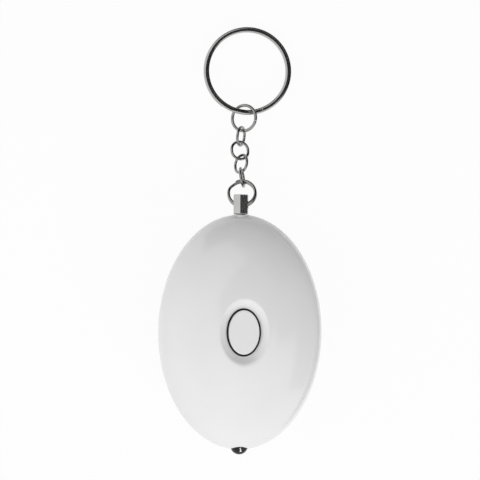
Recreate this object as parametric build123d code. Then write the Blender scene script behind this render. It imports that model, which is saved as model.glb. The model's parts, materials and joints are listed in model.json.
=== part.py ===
from build123d import *
import math
import os

# A personal safety alarm lying on its back, with the short key chain that pulls its pin.
# The origin is the centre of the flat back. +X is the right side, +Y runs from the lamp to
# the key ring, +Z comes out of the push button. All sizes are in millimetres.

# How far a cutter runs past what it cuts, and the usual clearances between pieces
overrun = 1.0
running_gap = 0.1
fit_gap = 0.05

# Casing: an egg with an elliptical outline, parted into a front and a rear shell
body_length = 66.4
body_width = 46.4
front_rise = 11.0
rear_drop = 10.5
back_trim = 0.05
front_land_length = 8.0
back_land_length = 30.0
wall = 1.8
seam_width = 0.3
seam_depth = 0.3
lip_height = 1.0
lip_thickness = 0.8
parting_z = rear_drop
front_top_z = parting_z + front_rise
boss_root = wall / 2

# Push button in its oval dish and well
dish_length = 18.2
dish_width = 13.6
dish_depth = 2.0
well_length = 13.5
well_width = 9.7
button_gap = 0.5
button_proud = 1.0
button_round = 0.45
button_flange_rim = 0.8
button_flange_thickness = 1.0
button_travel = 0.5
button_boss_rim = 0.7
button_guide_depth = 0.7

# Circuit board, hung from posts in the front shell by screws
board_z = 13.0
board_thickness = 1.0
board_width = 23.0
board_upper_room = 8.7
board_lower_room = 7.7
board_corner = 7.0
board_top_z = board_z + board_thickness
board_upper_end_y = body_length / 2 - board_upper_room
board_lower_end_y = -body_length / 2 + board_lower_room
board_post_inset = 2.5
board_post_upper_inset = 12.5
board_post_lower_inset = 5.5
board_post_x = board_width / 2 - board_post_inset
board_post_upper_y = board_upper_end_y - board_post_upper_inset
board_post_lower_y = board_lower_end_y + board_post_lower_inset
board_post_radius = 2.1
board_screw_length = 3.6

# Small screws for the board and the battery door, larger ones for the casing
small_screw_radius = 0.9
small_screw_head_radius = 1.8
small_screw_head_height = 1.0
case_screw_radius = 1.1
case_screw_head_radius = 2.0
case_screw_head_height = 1.3
case_screw_length = 9.0
screw_slot_width = 0.45
screw_slot_share = 0.7
screw_slot_depth_share = 0.45

# Case screw towers in the rear shell and the bosses that they bite into in the front shell
tower_x = 14.5
tower_upper_y = 14.0
tower_lower_y = -9.5
tower_radius = 3.4
tower_top_z = 6.0
tower_seat_thickness = 2.0
front_boss_radius = 2.6
front_boss_gap = 0.1

# Switch under the button
switch_size = 6.0
switch_height = 2.5
switch_corner = 0.5
stem_radius = 1.75
stem_socket_depth = 2.0
stem_lead_in = 0.2

# Siren: a piezo disc on a ring seat, over slots through the back
piezo_y = 8.0
piezo_radius = 9.5
piezo_thickness = 0.25
ceramic_radius = 7.0
ceramic_thickness = 0.2
piezo_seat_radius = 9.8
piezo_seat_width = 1.5
piezo_seat_height = 1.2
gasket_width = 1.3
gasket_height = 1.2
slot_count = 5
slot_width = 1.2
slot_pitch = 2.8
slot_field_radius = 7.4

# Button cells, lying side by side across the body, in a bay above the battery door
cell_radius = 5.8
cell_thickness = 5.4
cell_count = 3
cell_edge_round = 0.5
cell_y = -13.0
cell_clearance = 0.3
bay_wall = 1.0
bay_height = 7.4
contact_thickness = 0.3
contact_width = 6.0
contact_height = 7.0
contact_spring_reach = 1.0
contact_end_room = 1.5

# Battery door, flush in the back, with one screw
door_width = 20.7
door_upper_edge_y = -5.65
door_lower_edge_y = -24.0
door_corner = 2.5
door_thickness = 0.9
door_recess = 0.1
door_clearance = 0.15
door_screw_y = -21.9
door_screw_seat_depth = 0.4
door_screw_length = 4.4
door_boss_radius = 2.2
door_boss_height = 5.5

# Parts on the board, each placed by how far it stands in from the board's edges
coil_inset = 5.3
coil_x = board_width / 2 - coil_inset
coil_y = 3.5
coil_core_radius = 1.5
coil_flange_radius = 3.3
coil_flange_thickness = 0.6
coil_height = 4.6
coil_winding_radius = 2.9
capacitor_inset = 5.1
capacitor_x = -board_width / 2 + capacitor_inset
capacitor_y = 2.5
capacitor_radius = 2.5
capacitor_height = 5.0
capacitor_round = 0.4
controller_inset = 4.5
controller_x = -board_width / 2 + controller_inset
controller_y = -6.0
controller_radius = 2.6
controller_height = 0.9
bead_round_share = 0.8
transistor_inset = 5.0
transistor_x = board_width / 2 - transistor_inset
transistor_y = (-7.0, -11.5)
transistor_size = (2.9, 1.6, 1.1)
resistor_size = (2.0, 1.25, 0.5)
resistor_lead_gap = 1.23
resistor_lower_inset = 8.5
resistor_first_y = board_lower_end_y + resistor_lower_inset
resistor_pitch = 2.2
resistor_count = 4

# Lamp in the lower end
lamp_radius = 2.5
lamp_proud = 1.4
lamp_tip_y = -body_length / 2 - lamp_proud
lamp_length = 8.6
lamp_flange_rim = 0.4
lamp_flange_thickness = 1.0
lead_radius = 0.25
lead_spacing = 2.54
lead_straight = 1.2
lead_bend = 0.6
lead_end_above_board = 0.4
saddle_thickness = 1.6
saddle_width = 9.0

# Pull pin: a round shaft with a six-sided head, in a bush at the upper end
pin_radius = 1.25
pin_length = 12.7
head_flats = 4.0
head_length = 5.7
head_start_y = body_length / 2
pin_tip_y = head_start_y - pin_length
head_chamfer = 0.25
head_turn_deg = 12.5
ring_hole_radius = 1.15
ring_hole_offset = 2.8
bush_radius = 2.4
bush_length = 8.1
bush_recess = 0.1
bush_end_y = body_length / 2 - bush_recess
bush_start_y = bush_end_y - bush_length
bush_flange_rim = 0.6
bush_flange_thickness = 1.0
bush_flange_setback = 4.9
bush_flange_y = bush_end_y - bush_flange_setback

# Contacts that the pin holds apart
leaf_thickness = 0.25
leaf_height = 3.2
leaf_length = 8.6
leaf_root = 0.3
leaf_past_tip = 1.1
leaf_end_y = pin_tip_y + leaf_past_tip
leaf_pivot_y = leaf_end_y - leaf_length
leaf_base_length = 2.4
leaf_base_width = 3.0
leaf_base_height = 4.2
leaf_slot_gap = 0.2
fixed_contact_thickness = 0.3
fixed_contact_length = 2.5
fixed_contact_setback = 3.25
fixed_contact_y = pin_tip_y - fixed_contact_setback
fixed_contact_x = -0.35
fixed_contact_foot = 1.6

# Leads from the board to the piezo disc
wire_radius = 0.35
solder_deg = 60

# Chain: wire sizes and centre-line sizes of each ring
small_wire_radius = 0.425
small_coil_pitch = 0.9
small_ring_diameter = 7.55
link_wire_radius = 0.4
link_length = 5.2
link_width = 4.8
link_slit = 0.08
jump_wire_radius = 0.45
jump_ring_diameter = 7.3
key_wire_width = 1.5
key_coil_pitch = 0.96
key_coil_gap = 0.06
key_wire_round = 0.4
key_ring_diameter = 23.5
joggle_deg = 40.0
small_ring_joggle_at_deg = 150
key_ring_joggle_at_deg = 205
coil_tail_deg = 8.0

# How much slack each ring has on its hook
small_ring_lift = 0.35
first_link_play = 0.525
link_play = 0.17
key_ring_play = 0.75

# How each ring lies: its yaw from +Y, its dip below level, its roll about its own length,
# and where round its far end the next one hooks on. All are in degrees.
small_ring_pose_deg = (8, 23, 14)
link_one_pose_deg = (-3, 24, 107)
link_two_pose_deg = (1, 25, 54)
link_three_pose_deg = (-1, 19, -10)
link_four_pose_deg = (8, 5, -59)
jump_ring_pose_deg = (12, -1, 33)
key_ring_pose_deg = (4, 3, -1)
small_ring_hook_deg = -3
link_hook_deg = (1, -6, 4, -2)
jump_ring_hook_deg = -9

# Places worked out from the sizes above
door_inner_z = door_recess + door_thickness
door_seat_depth = door_inner_z + running_gap
cell_z = door_inner_z + cell_clearance + cell_radius
stack_half = cell_count * cell_thickness / 2
bay_half_length = stack_half + contact_end_room
bay_half_width = cell_radius + cell_clearance
hole_y = head_start_y + ring_hole_offset
lamp_dome_y = lamp_tip_y + lamp_radius
lamp_base_y = lamp_tip_y + lamp_length
leaf_x = -(pin_radius + running_gap + leaf_thickness / 2)
piezo_seat_z = wall + piezo_seat_height


def dome_height(rise, land_length, x, y):
    """How far the casing's outside stands off the parting plane over a point of its outline."""
    land = land_length / 2
    reach = math.hypot(x * body_length / body_width, y)
    share = max(0, (reach - land) / (body_length / 2 - land))
    return rise * math.sqrt(1 - share ** 2)


def rear_surface_z(x, y):
    return max(0, parting_z - dome_height(rear_drop + back_trim, back_land_length, x, y))


dish_rim_z = parting_z + dome_height(front_rise, front_land_length, 0, dish_length / 2)
dish_floor_z = dish_rim_z - dish_depth
well_floor_z = dish_floor_z - button_guide_depth
button_top_z = dish_floor_z + button_proud
flange_top_z = well_floor_z - running_gap
flange_low_z = flange_top_z - button_flange_thickness
tower_seat_z = tower_top_z - tower_seat_thickness
door_screw_seat_z = rear_surface_z(0, door_screw_y) + door_screw_seat_depth
lead_hole_y = lamp_base_y + lead_straight + lead_bend
resistor_x = -(lead_spacing / 2 + resistor_lead_gap + resistor_size[0] / 2)


def dome(rise, land_length, inset):
    """Half of the egg over its parting plane, drawn in by inset on every side."""
    half_length = body_length / 2 - inset
    half_width = body_width / 2 - inset
    land = land_length / 2
    height = rise - inset
    profile = make_face([
        Line((0, 0), (half_length, 0)),
        EllipticalCenterArc((land, 0), half_length - land, height, 0, arc_size=90),
        Line((land, height), (0, height)),
        Line((0, height), (0, 0)),
    ])
    round_dome = revolve(Plane.XZ * profile, Axis.Z)
    return scale(round_dome, by=(half_width / half_length, 1, 1))


def front_half(inset):
    return Pos(0, 0, parting_z) * dome(front_rise, front_land_length, inset)


def column(outline, low_z, high_z):
    """A flat outline drawn at z = 0, pulled up between two heights."""
    return extrude(Pos(0, 0, low_z) * outline, amount=high_z - low_z)


def oval(length, width):
    return Ellipse(width / 2, length / 2)


def body_oval(inset):
    return Ellipse(body_width / 2 - inset, body_length / 2 - inset)


def rear_half(inset):
    """The egg's lower half, trimmed to the flat that it rests on."""
    egg = Pos(0, 0, parting_z) * mirror(dome(rear_drop + back_trim, back_land_length, inset), Plane.XY)
    return egg & column(body_oval(-overrun), inset, parting_z)


def disc(radius, x, y, low_z, high_z):
    return column(Pos(x, y) * Circle(radius), low_z, high_z)


def block(low, high):
    """A box given by its lowest and highest corners."""
    size = [b - a for a, b in zip(low, high)]
    centre = [(a + b) / 2 for a, b in zip(low, high)]
    return Pos(*centre) * Box(*size)


def along_y(outline, start_y, end_y, x=0.0, z=parting_z):
    """An outline with its own y pointing up, pulled along +Y from start_y to end_y."""
    plane = Plane(origin=(x, start_y, z), x_dir=(-1, 0, 0), z_dir=(0, 1, 0))
    return extrude(plane * outline, amount=end_y - start_y)


def screw(shank_radius, length, head_radius, head_height):
    """A cross-slotted pan head screw that points up, with its head's seat at z = 0."""
    head = disc(head_radius, 0, 0, -head_height, 0)
    head = fillet(head.edges().group_by(Axis.Z)[0], head_height / 2)
    slot_length = 2 * head_radius * screw_slot_share
    slot_depth = head_height * screw_slot_depth_share
    slots = Rectangle(slot_length, screw_slot_width) + Rectangle(screw_slot_width, slot_length)
    head -= column(slots, -head_height - overrun, -head_height + slot_depth)
    shank = disc(shank_radius, 0, 0, 0, length)
    shank = chamfer(shank.edges().group_by(Axis.Z)[-1], shank_radius / 2)
    return head + shank


def four_places(x, upper_y, lower_y):
    return [(-x, upper_y), (x, upper_y), (-x, lower_y), (x, lower_y)]


tower_places = four_places(tower_x, tower_upper_y, tower_lower_y)
board_post_places = four_places(board_post_x, board_post_upper_y, board_post_lower_y)


def end_saddles(low_z, high_z):
    """Cross ribs at both ends of the body, before they are bored for the lamp and the bush."""
    half = saddle_width / 2
    lamp_rib_y = lamp_base_y - lamp_flange_thickness - running_gap
    bush_rib_y = bush_flange_y - bush_flange_thickness / 2 - running_gap
    lamp_rib = block((-half, lamp_rib_y - saddle_thickness, low_z), (half, lamp_rib_y, high_z))
    bush_rib = block((-half, bush_rib_y - saddle_thickness, low_z), (half, bush_rib_y, high_z))
    return lamp_rib + bush_rib


def end_bores():
    """Room for the lamp and the bush through the ends of the shells and their saddles."""
    lamp_bore = along_y(Circle(lamp_radius + running_gap), lamp_tip_y - overrun,
                        lamp_base_y - lamp_flange_thickness - fit_gap)
    bush_bore = along_y(Circle(bush_radius + fit_gap), bush_start_y, bush_end_y + overrun)
    return [lamp_bore, bush_bore]


def seam_cutter(low_z, high_z):
    """A shallow groove round the outside, where the shells meet."""
    outside = column(body_oval(-overrun), low_z, high_z)
    return outside - column(body_oval(seam_depth), low_z - overrun, high_z + overrun)


def make_front_shell():
    boss_low_z = tower_top_z + front_boss_gap
    inner_bosses = column(oval(dish_length + 2 * button_boss_rim, dish_width + 2 * button_boss_rim),
                          well_floor_z, front_top_z)
    for x, y in board_post_places:
        inner_bosses += disc(board_post_radius, x, y, board_top_z, front_top_z)
    for x, y in tower_places:
        inner_bosses += disc(front_boss_radius, x, y, parting_z, front_top_z)
    inner_bosses += end_saddles(parting_z, front_top_z)
    shell = front_half(0) - front_half(wall)
    shell += inner_bosses & front_half(boss_root)
    for x, y in tower_places:
        shell += disc(front_boss_radius, x, y, boss_low_z, parting_z + overrun)
    lip_room = column(body_oval(wall - lip_thickness - running_gap), parting_z - overrun,
                      parting_z + lip_height + running_gap)
    lip_room -= column(body_oval(wall + overrun), parting_z - 2 * overrun, parting_z + 2 * lip_height)
    shell -= lip_room
    shell -= seam_cutter(parting_z, parting_z + seam_width / 2)
    dish = loft([Pos(0, 0, dish_floor_z) * oval(well_length, well_width),
                 Pos(0, 0, dish_rim_z) * oval(dish_length, dish_width)])
    above = column(oval(dish_length, dish_width), dish_rim_z, front_top_z + overrun)
    shell -= dish + above
    shell -= column(oval(well_length, well_width), well_floor_z - overrun, dish_floor_z + fit_gap)
    for x, y in board_post_places:
        shell -= disc(small_screw_radius + fit_gap, x, y, board_top_z - overrun,
                      board_z + board_screw_length + running_gap)
    for x, y in tower_places:
        shell -= disc(case_screw_radius + fit_gap, x, y, boss_low_z - overrun,
                      tower_seat_z + case_screw_length + running_gap)
    for bore in end_bores():
        shell -= bore
    return shell


def sound_slots():
    slots = []
    for index in range(slot_count):
        x = (index - (slot_count - 1) / 2) * slot_pitch
        length = 2 * math.sqrt(slot_field_radius ** 2 - x ** 2)
        slots.append(Pos(x, piezo_y) * Rot(0, 0, 90) * SlotOverall(length, slot_width))
    return slots


def door_outline(clearance):
    middle_y = (door_upper_edge_y + door_lower_edge_y) / 2
    length = door_upper_edge_y - door_lower_edge_y
    return Pos(0, middle_y) * RectangleRounded(door_width + 2 * clearance, length + 2 * clearance,
                                              door_corner + clearance)


def make_rear_shell():
    bay_outer_x = bay_half_length + bay_wall
    bay_outer_y = bay_half_width + bay_wall
    bay_top_z = wall + bay_height
    inner_bosses = block((-bay_outer_x, cell_y - bay_outer_y, 0),
                         (bay_outer_x, cell_y + bay_outer_y, bay_top_z))
    inner_bosses += disc(piezo_seat_radius, 0, piezo_y, 0, piezo_seat_z)
    inner_bosses += disc(door_boss_radius, 0, door_screw_y, 0, door_seat_depth + door_boss_height)
    for x, y in tower_places:
        inner_bosses += disc(tower_radius, x, y, 0, tower_top_z)
    inner_bosses += end_saddles(0, parting_z)
    shell = rear_half(0) - rear_half(wall)
    shell += inner_bosses & rear_half(boss_root)
    lip = column(body_oval(wall - lip_thickness), parting_z - wall, parting_z + lip_height)
    lip -= column(body_oval(wall), parting_z - wall - overrun, parting_z + lip_height + overrun)
    shell += lip
    shell -= seam_cutter(parting_z - seam_width / 2, parting_z)
    shell -= disc(piezo_seat_radius - piezo_seat_width, 0, piezo_y, wall, piezo_seat_z + overrun)
    for slot in sound_slots():
        shell -= column(slot, -overrun, wall + overrun)
    door_room = rear_half(0) & column(door_outline(door_clearance), -overrun, parting_z)
    shell -= door_room - rear_half(door_seat_depth)
    shell -= block((-bay_half_length, cell_y - bay_half_width, door_seat_depth - overrun),
                   (bay_half_length, cell_y + bay_half_width, bay_top_z + overrun))
    shell -= disc(small_screw_radius + fit_gap, 0, door_screw_y, 0,
                  door_screw_seat_z + door_screw_length + running_gap)
    for x, y in tower_places:
        shell -= disc(case_screw_head_radius + running_gap, x, y, -overrun, tower_seat_z)
        shell -= disc(case_screw_radius + running_gap, x, y, 0, tower_top_z + overrun)
    for bore in end_bores():
        shell -= bore
    return shell


def make_battery_door():
    skin = rear_half(door_recess) - rear_half(door_inner_z)
    door = skin & column(door_outline(0), -overrun, parting_z)
    door -= disc(small_screw_head_radius + running_gap, 0, door_screw_y, -overrun, door_screw_seat_z)
    return door - disc(small_screw_radius + running_gap, 0, door_screw_y, -overrun, parting_z)


def make_door_screw():
    one = screw(small_screw_radius, door_screw_length, small_screw_head_radius, small_screw_head_height)
    return Pos(0, door_screw_y, door_screw_seat_z) * one


def make_case_screws():
    one = screw(case_screw_radius, case_screw_length, case_screw_head_radius, case_screw_head_height)
    return [Pos(x, y, tower_seat_z) * one for x, y in tower_places]


def make_board_screws():
    one = screw(small_screw_radius, board_screw_length, small_screw_head_radius, small_screw_head_height)
    return [Pos(x, y, board_z) * one for x, y in board_post_places]


def lead_places():
    half = lead_spacing / 2
    return [-half, half]


def make_circuit_board():
    middle_y = (board_upper_end_y + board_lower_end_y) / 2
    length = board_upper_end_y - board_lower_end_y
    outline = Pos(0, middle_y) * RectangleRounded(board_width, length, board_corner)
    board = column(outline, board_z, board_top_z)
    for x, y in board_post_places:
        board -= disc(small_screw_radius + running_gap, x, y, board_z - overrun, board_top_z + overrun)
    for x in lead_places():
        board -= disc(lead_radius + running_gap, x, lead_hole_y, board_z - overrun, board_top_z + overrun)
    return board


def make_push_button():
    top = column(oval(well_length - 2 * button_gap, well_width - 2 * button_gap), flange_low_z, button_top_z)
    top = fillet(top.edges().group_by(Axis.Z)[-1], button_round)
    rim = 2 * (button_flange_rim - button_gap)
    flange = column(oval(well_length + rim, well_width + rim), flange_low_z, flange_top_z)
    return top + flange


def make_switch_body():
    switch_top_z = board_top_z + switch_height
    body = column(RectangleRounded(switch_size, switch_size, switch_corner), board_top_z, switch_top_z)
    return body - disc(stem_radius + fit_gap, 0, 0, switch_top_z - stem_socket_depth, switch_top_z + overrun)


def make_switch_stem():
    low_z = board_top_z + switch_height - stem_socket_depth + button_travel + running_gap
    stem = disc(stem_radius, 0, 0, low_z, flange_low_z)
    return chamfer(stem.edges().group_by(Axis.Z)[-1], stem_lead_in)


def make_piezo_disc():
    return disc(piezo_radius, 0, piezo_y, piezo_seat_z, piezo_seat_z + piezo_thickness)


def make_piezo_ceramic():
    low_z = piezo_seat_z + piezo_thickness
    return disc(ceramic_radius, 0, piezo_y, low_z, low_z + ceramic_thickness)


def make_piezo_gasket():
    low_z = piezo_seat_z + piezo_thickness
    ring = disc(piezo_radius, 0, piezo_y, low_z, low_z + gasket_height)
    return ring - disc(piezo_radius - gasket_width, 0, piezo_y, low_z - overrun, low_z + 2 * gasket_height)


def make_button_cells():
    cells = []
    for index in range(cell_count):
        start_x = -stack_half + index * cell_thickness
        plane = Plane(origin=(start_x, cell_y, cell_z), x_dir=(0, 1, 0), z_dir=(1, 0, 0))
        cell = extrude(plane * Circle(cell_radius), amount=cell_thickness)
        cells.append(fillet(cell.edges().filter_by(GeomType.CIRCLE), cell_edge_round))
    return cells


def contact_strip(side):
    """A flat strip at one end of the cell stack, with a tongue bowed against the end cell."""
    outer_x = bay_half_length - running_gap
    flat_x = outer_x - contact_thickness
    touch_x = stack_half + fit_gap
    low_z = cell_z - contact_height / 2
    high_z = board_z
    outline = Polyline((outer_x, low_z), (outer_x, high_z), (flat_x, high_z),
                       (flat_x, cell_z + contact_height / 2), (touch_x, cell_z),
                       (touch_x + contact_thickness, cell_z - contact_spring_reach),
                       (flat_x, low_z + contact_spring_reach), (flat_x, low_z), close=True)
    plane = Plane(origin=(0, cell_y + contact_width / 2, 0), x_dir=(1, 0, 0), z_dir=(0, -1, 0))
    strip = extrude(plane * make_face(outline), amount=contact_width)
    return strip if side > 0 else mirror(strip, Plane.YZ)


def make_boost_coil_core():
    low_z = board_z - coil_height
    core = disc(coil_core_radius, coil_x, coil_y, low_z, board_z)
    core += disc(coil_flange_radius, coil_x, coil_y, low_z, low_z + coil_flange_thickness)
    return core + disc(coil_flange_radius, coil_x, coil_y, board_z - coil_flange_thickness, board_z)


def make_boost_coil_winding():
    low_z = board_z - coil_height + coil_flange_thickness
    high_z = board_z - coil_flange_thickness
    winding = disc(coil_winding_radius, coil_x, coil_y, low_z, high_z)
    return winding - disc(coil_core_radius, coil_x, coil_y, low_z - overrun, high_z + overrun)


def make_capacitor():
    can = disc(capacitor_radius, capacitor_x, capacitor_y, board_z - capacitor_height, board_z)
    return fillet(can.edges().group_by(Axis.Z)[0], capacitor_round)


def make_controller_blob():
    bead = disc(controller_radius, controller_x, controller_y, board_top_z, board_top_z + controller_height)
    return fillet(bead.edges().group_by(Axis.Z)[-1], controller_height * bead_round_share)


def make_transistors():
    length, width, height = transistor_size
    return [Pos(transistor_x, y, board_top_z + height / 2) * Box(width, length, height) for y in transistor_y]


def make_resistors():
    length, width, height = resistor_size
    rows = [resistor_first_y - index * resistor_pitch for index in range(resistor_count)]
    return [Pos(resistor_x, y, board_top_z + height / 2) * Box(length, width, height) for y in rows]


def make_led_lamp():
    lamp = along_y(Circle(lamp_radius), lamp_dome_y, lamp_base_y)
    lamp += Pos(0, lamp_dome_y, parting_z) * Sphere(lamp_radius)
    flange = along_y(Circle(lamp_radius + lamp_flange_rim), lamp_base_y - lamp_flange_thickness, lamp_base_y)
    return lamp + flange


def make_led_leads():
    leads = []
    for x in lead_places():
        route = FilletPolyline((x, lamp_base_y, parting_z), (x, lead_hole_y, parting_z),
                               (x, lead_hole_y, board_top_z + lead_end_above_board), radius=lead_bend)
        start = Plane(origin=route @ 0, z_dir=route % 0)
        leads.append(sweep(start * Circle(lead_radius), path=route))
    return leads


def make_pin_bush():
    bush = along_y(Circle(bush_radius), bush_start_y, bush_end_y)
    bush += along_y(Circle(bush_radius + bush_flange_rim), bush_flange_y - bush_flange_thickness / 2,
                    bush_flange_y + bush_flange_thickness / 2)
    return bush - along_y(Circle(pin_radius + fit_gap), bush_start_y - overrun, bush_end_y + overrun)


def make_pull_pin():
    hexagon = RegularPolygon(head_flats / 2, side_count=6, major_radius=False, rotation=30)
    head_end_y = head_start_y + head_length
    head = along_y(hexagon, head_start_y, head_end_y)
    ends = head.faces().sort_by(Axis.Y)
    head = chamfer(ends[0].edges() + ends[-1].edges(), head_chamfer)
    cross = Plane(origin=(-head_flats, hole_y, parting_z), x_dir=(0, 1, 0), z_dir=(1, 0, 0))
    head -= extrude(cross * Circle(ring_hole_radius), amount=2 * head_flats)
    head = Pos(0, 0, parting_z) * Rot(0, -head_turn_deg, 0) * Pos(0, 0, -parting_z) * head
    shaft = along_y(Circle(pin_radius), pin_tip_y + pin_radius, head_start_y + head_chamfer)
    shaft += Pos(0, pin_tip_y + pin_radius, parting_z) * Sphere(pin_radius)
    return head + shaft


def make_moving_contact():
    middle_z = parting_z
    return block((leaf_x - leaf_thickness / 2, leaf_pivot_y - leaf_root, middle_z - leaf_height / 2),
                 (leaf_x + leaf_thickness / 2, leaf_end_y, middle_z + leaf_height / 2))


def make_contact_base():
    low_z = board_z - leaf_base_height
    half = leaf_base_width / 2
    base = block((leaf_x - half, leaf_pivot_y + leaf_slot_gap - leaf_base_length, low_z),
                 (leaf_x + half, leaf_pivot_y + leaf_slot_gap, board_z))
    slot_half = leaf_thickness / 2 + leaf_slot_gap
    slot = block((leaf_x - slot_half, leaf_pivot_y - leaf_root - leaf_slot_gap, low_z - overrun),
                 (leaf_x + slot_half, leaf_pivot_y + overrun, parting_z + leaf_height / 2 + leaf_slot_gap))
    return base - slot


def make_fixed_contact():
    half = fixed_contact_length / 2
    low_x = fixed_contact_x - fixed_contact_thickness / 2
    low_z = parting_z - leaf_height / 2
    blade = block((low_x, fixed_contact_y - half, low_z),
                  (low_x + fixed_contact_thickness, fixed_contact_y + half, board_z))
    foot = block((low_x, fixed_contact_y - half, board_z - fixed_contact_thickness),
                 (low_x + fixed_contact_foot, fixed_contact_y + half, board_z))
    return blade + foot


def piezo_wire(side):
    """A lead from the board down to the piezo: to the ceramic on the right, the disc on the left."""
    drop_z = piezo_seat_z + piezo_thickness + (ceramic_thickness if side > 0 else 0)
    end_radius = ceramic_radius / 2 if side > 0 else (piezo_radius - gasket_width + ceramic_radius) / 2
    solder_at = math.radians(solder_deg)
    end = Vector(side * end_radius * math.cos(solder_at), piezo_y + end_radius * math.sin(solder_at))
    start = Vector(side * board_width / 4, piezo_y + piezo_radius)
    level_z = (drop_z + board_z) / 2
    route = FilletPolyline((start.X, start.Y, board_z), (start.X, start.Y, level_z),
                           (end.X, end.Y, level_z), (end.X, end.Y, drop_z), radius=4 * wire_radius)
    plane = Plane(origin=route @ 0, z_dir=route % 0)
    return sweep(plane * Circle(wire_radius), path=route)


class HungRing:
    """Where a ring hangs: its plane, its far hook point and the line that the next one turns about."""

    def __init__(self, hook, pose_deg, length, overlap, hook_deg):
        yaw, dip, roll = (math.radians(angle) for angle in pose_deg)
        along = Vector(math.sin(yaw) * math.cos(dip), math.cos(yaw) * math.cos(dip), -math.sin(dip))
        level = Vector(math.cos(yaw), -math.sin(yaw), 0)
        across = level * math.cos(roll) + level.cross(along) * math.sin(roll)
        centre = hook + along * (length / 2 - overlap)
        swing = math.radians(hook_deg)
        self.plane = Plane(origin=centre, x_dir=across, z_dir=across.cross(along))
        self.near = centre - along * (length / 2)
        self.across = across
        self.far = centre + (across * math.sin(swing) + along * math.cos(swing)) * (length / 2)
        self.axis = across * math.cos(swing) - along * math.sin(swing)


def hang_chain():
    """Each ring hooks on the far end of the one before it, starting at the pin's cross hole."""
    hook = Vector(0, hole_y, parting_z)
    small = HungRing(hook, small_ring_pose_deg, small_ring_diameter, small_ring_lift, small_ring_hook_deg)
    rings = [small]
    link_poses_deg = (link_one_pose_deg, link_two_pose_deg, link_three_pose_deg, link_four_pose_deg)
    overlap = small_wire_radius + link_wire_radius + first_link_play
    for pose_deg, hook_deg in zip(link_poses_deg, link_hook_deg):
        rings.append(HungRing(rings[-1].far, pose_deg, link_length, overlap, hook_deg))
        overlap = 2 * link_wire_radius + link_play
    overlap = link_wire_radius + jump_wire_radius + link_play
    jump = HungRing(rings[-1].far, jump_ring_pose_deg, jump_ring_diameter, overlap, jump_ring_hook_deg)
    overlap = jump_wire_radius + key_wire_width / 2 + key_ring_play
    key = HungRing(jump.far, key_ring_pose_deg, key_ring_diameter, overlap, 0)
    return rings + [jump, key]


def split_ring_route(diameter, pitch, joggle_at_deg):
    """Two turns, one above the other, joined by a smooth step from the lower to the upper."""
    radius = diameter / 2
    half_step = joggle_deg / 2
    turn_deg = 360 - joggle_deg - coil_tail_deg
    leave, arrive = math.radians(joggle_at_deg - half_step), math.radians(joggle_at_deg + half_step)
    reach = radius * 4 / 3 * math.tan((arrive - leave) / 4)
    low = Vector(radius * math.cos(leave), radius * math.sin(leave), -pitch / 2)
    high = Vector(radius * math.cos(arrive), radius * math.sin(arrive), pitch / 2)
    low_handle = low + Vector(-math.sin(leave), math.cos(leave), 0) * reach
    high_handle = high - Vector(-math.sin(arrive), math.cos(arrive), 0) * reach
    lower = Pos(0, 0, -pitch / 2) * CenterArc((0, 0), radius, joggle_at_deg - half_step - turn_deg, turn_deg)
    upper = Pos(0, 0, pitch / 2) * CenterArc((0, 0), radius, joggle_at_deg + half_step, turn_deg)
    return Wire([lower.edge(), Bezier(low, low_handle, high_handle, high).edge(), upper.edge()])


def make_small_split_ring():
    route = split_ring_route(small_ring_diameter, small_coil_pitch, small_ring_joggle_at_deg)
    start = Plane(origin=route @ 0, z_dir=route % 0)
    return sweep(start * Circle(small_wire_radius), path=route)


def make_key_ring():
    route = split_ring_route(key_ring_diameter, key_coil_pitch, key_ring_joggle_at_deg)
    start = Plane(origin=route @ 0, x_dir=Vector(0, 0, 1).cross(route % 0), z_dir=route % 0)
    section = RectangleRounded(key_wire_width, key_coil_pitch - key_coil_gap, key_wire_round)
    return sweep(start * section, path=route)


def make_link():
    """An oval link, with the fine slit where its wire's ends meet."""
    radius = link_width / 2
    straight = (link_length - link_width) / 2
    slit = link_slit / 2
    route = Wire([
        Line((radius, slit), (radius, straight)),
        CenterArc((0, straight), radius, 0, 180),
        Line((-radius, straight), (-radius, -straight)),
        CenterArc((0, -straight), radius, 180, 180),
        Line((radius, -straight), (radius, -slit)),
    ])
    start = Plane(origin=route @ 0, z_dir=route % 0)
    return sweep(start * Circle(link_wire_radius), path=route)


def make_jump_ring():
    radius = jump_ring_diameter / 2
    slit_deg = math.degrees(link_slit / radius)
    route = CenterArc((0, 0), radius, slit_deg / 2, 360 - slit_deg)
    start = Plane(origin=route @ 0, z_dir=route % 0)
    return sweep(start * Circle(jump_wire_radius), path=route)


def make_chain():
    small, one, two, three, four, jump, key = hang_chain()
    link = make_link()
    return {
        "small_split_ring": small.plane * make_small_split_ring(),
        "chain_link_1": one.plane * link,
        "chain_link_2": two.plane * link,
        "chain_link_3": three.plane * link,
        "chain_link_4": four.plane * link,
        "jump_ring": jump.plane * make_jump_ring(),
        "key_ring": key.plane * make_key_ring(),
    }


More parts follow.
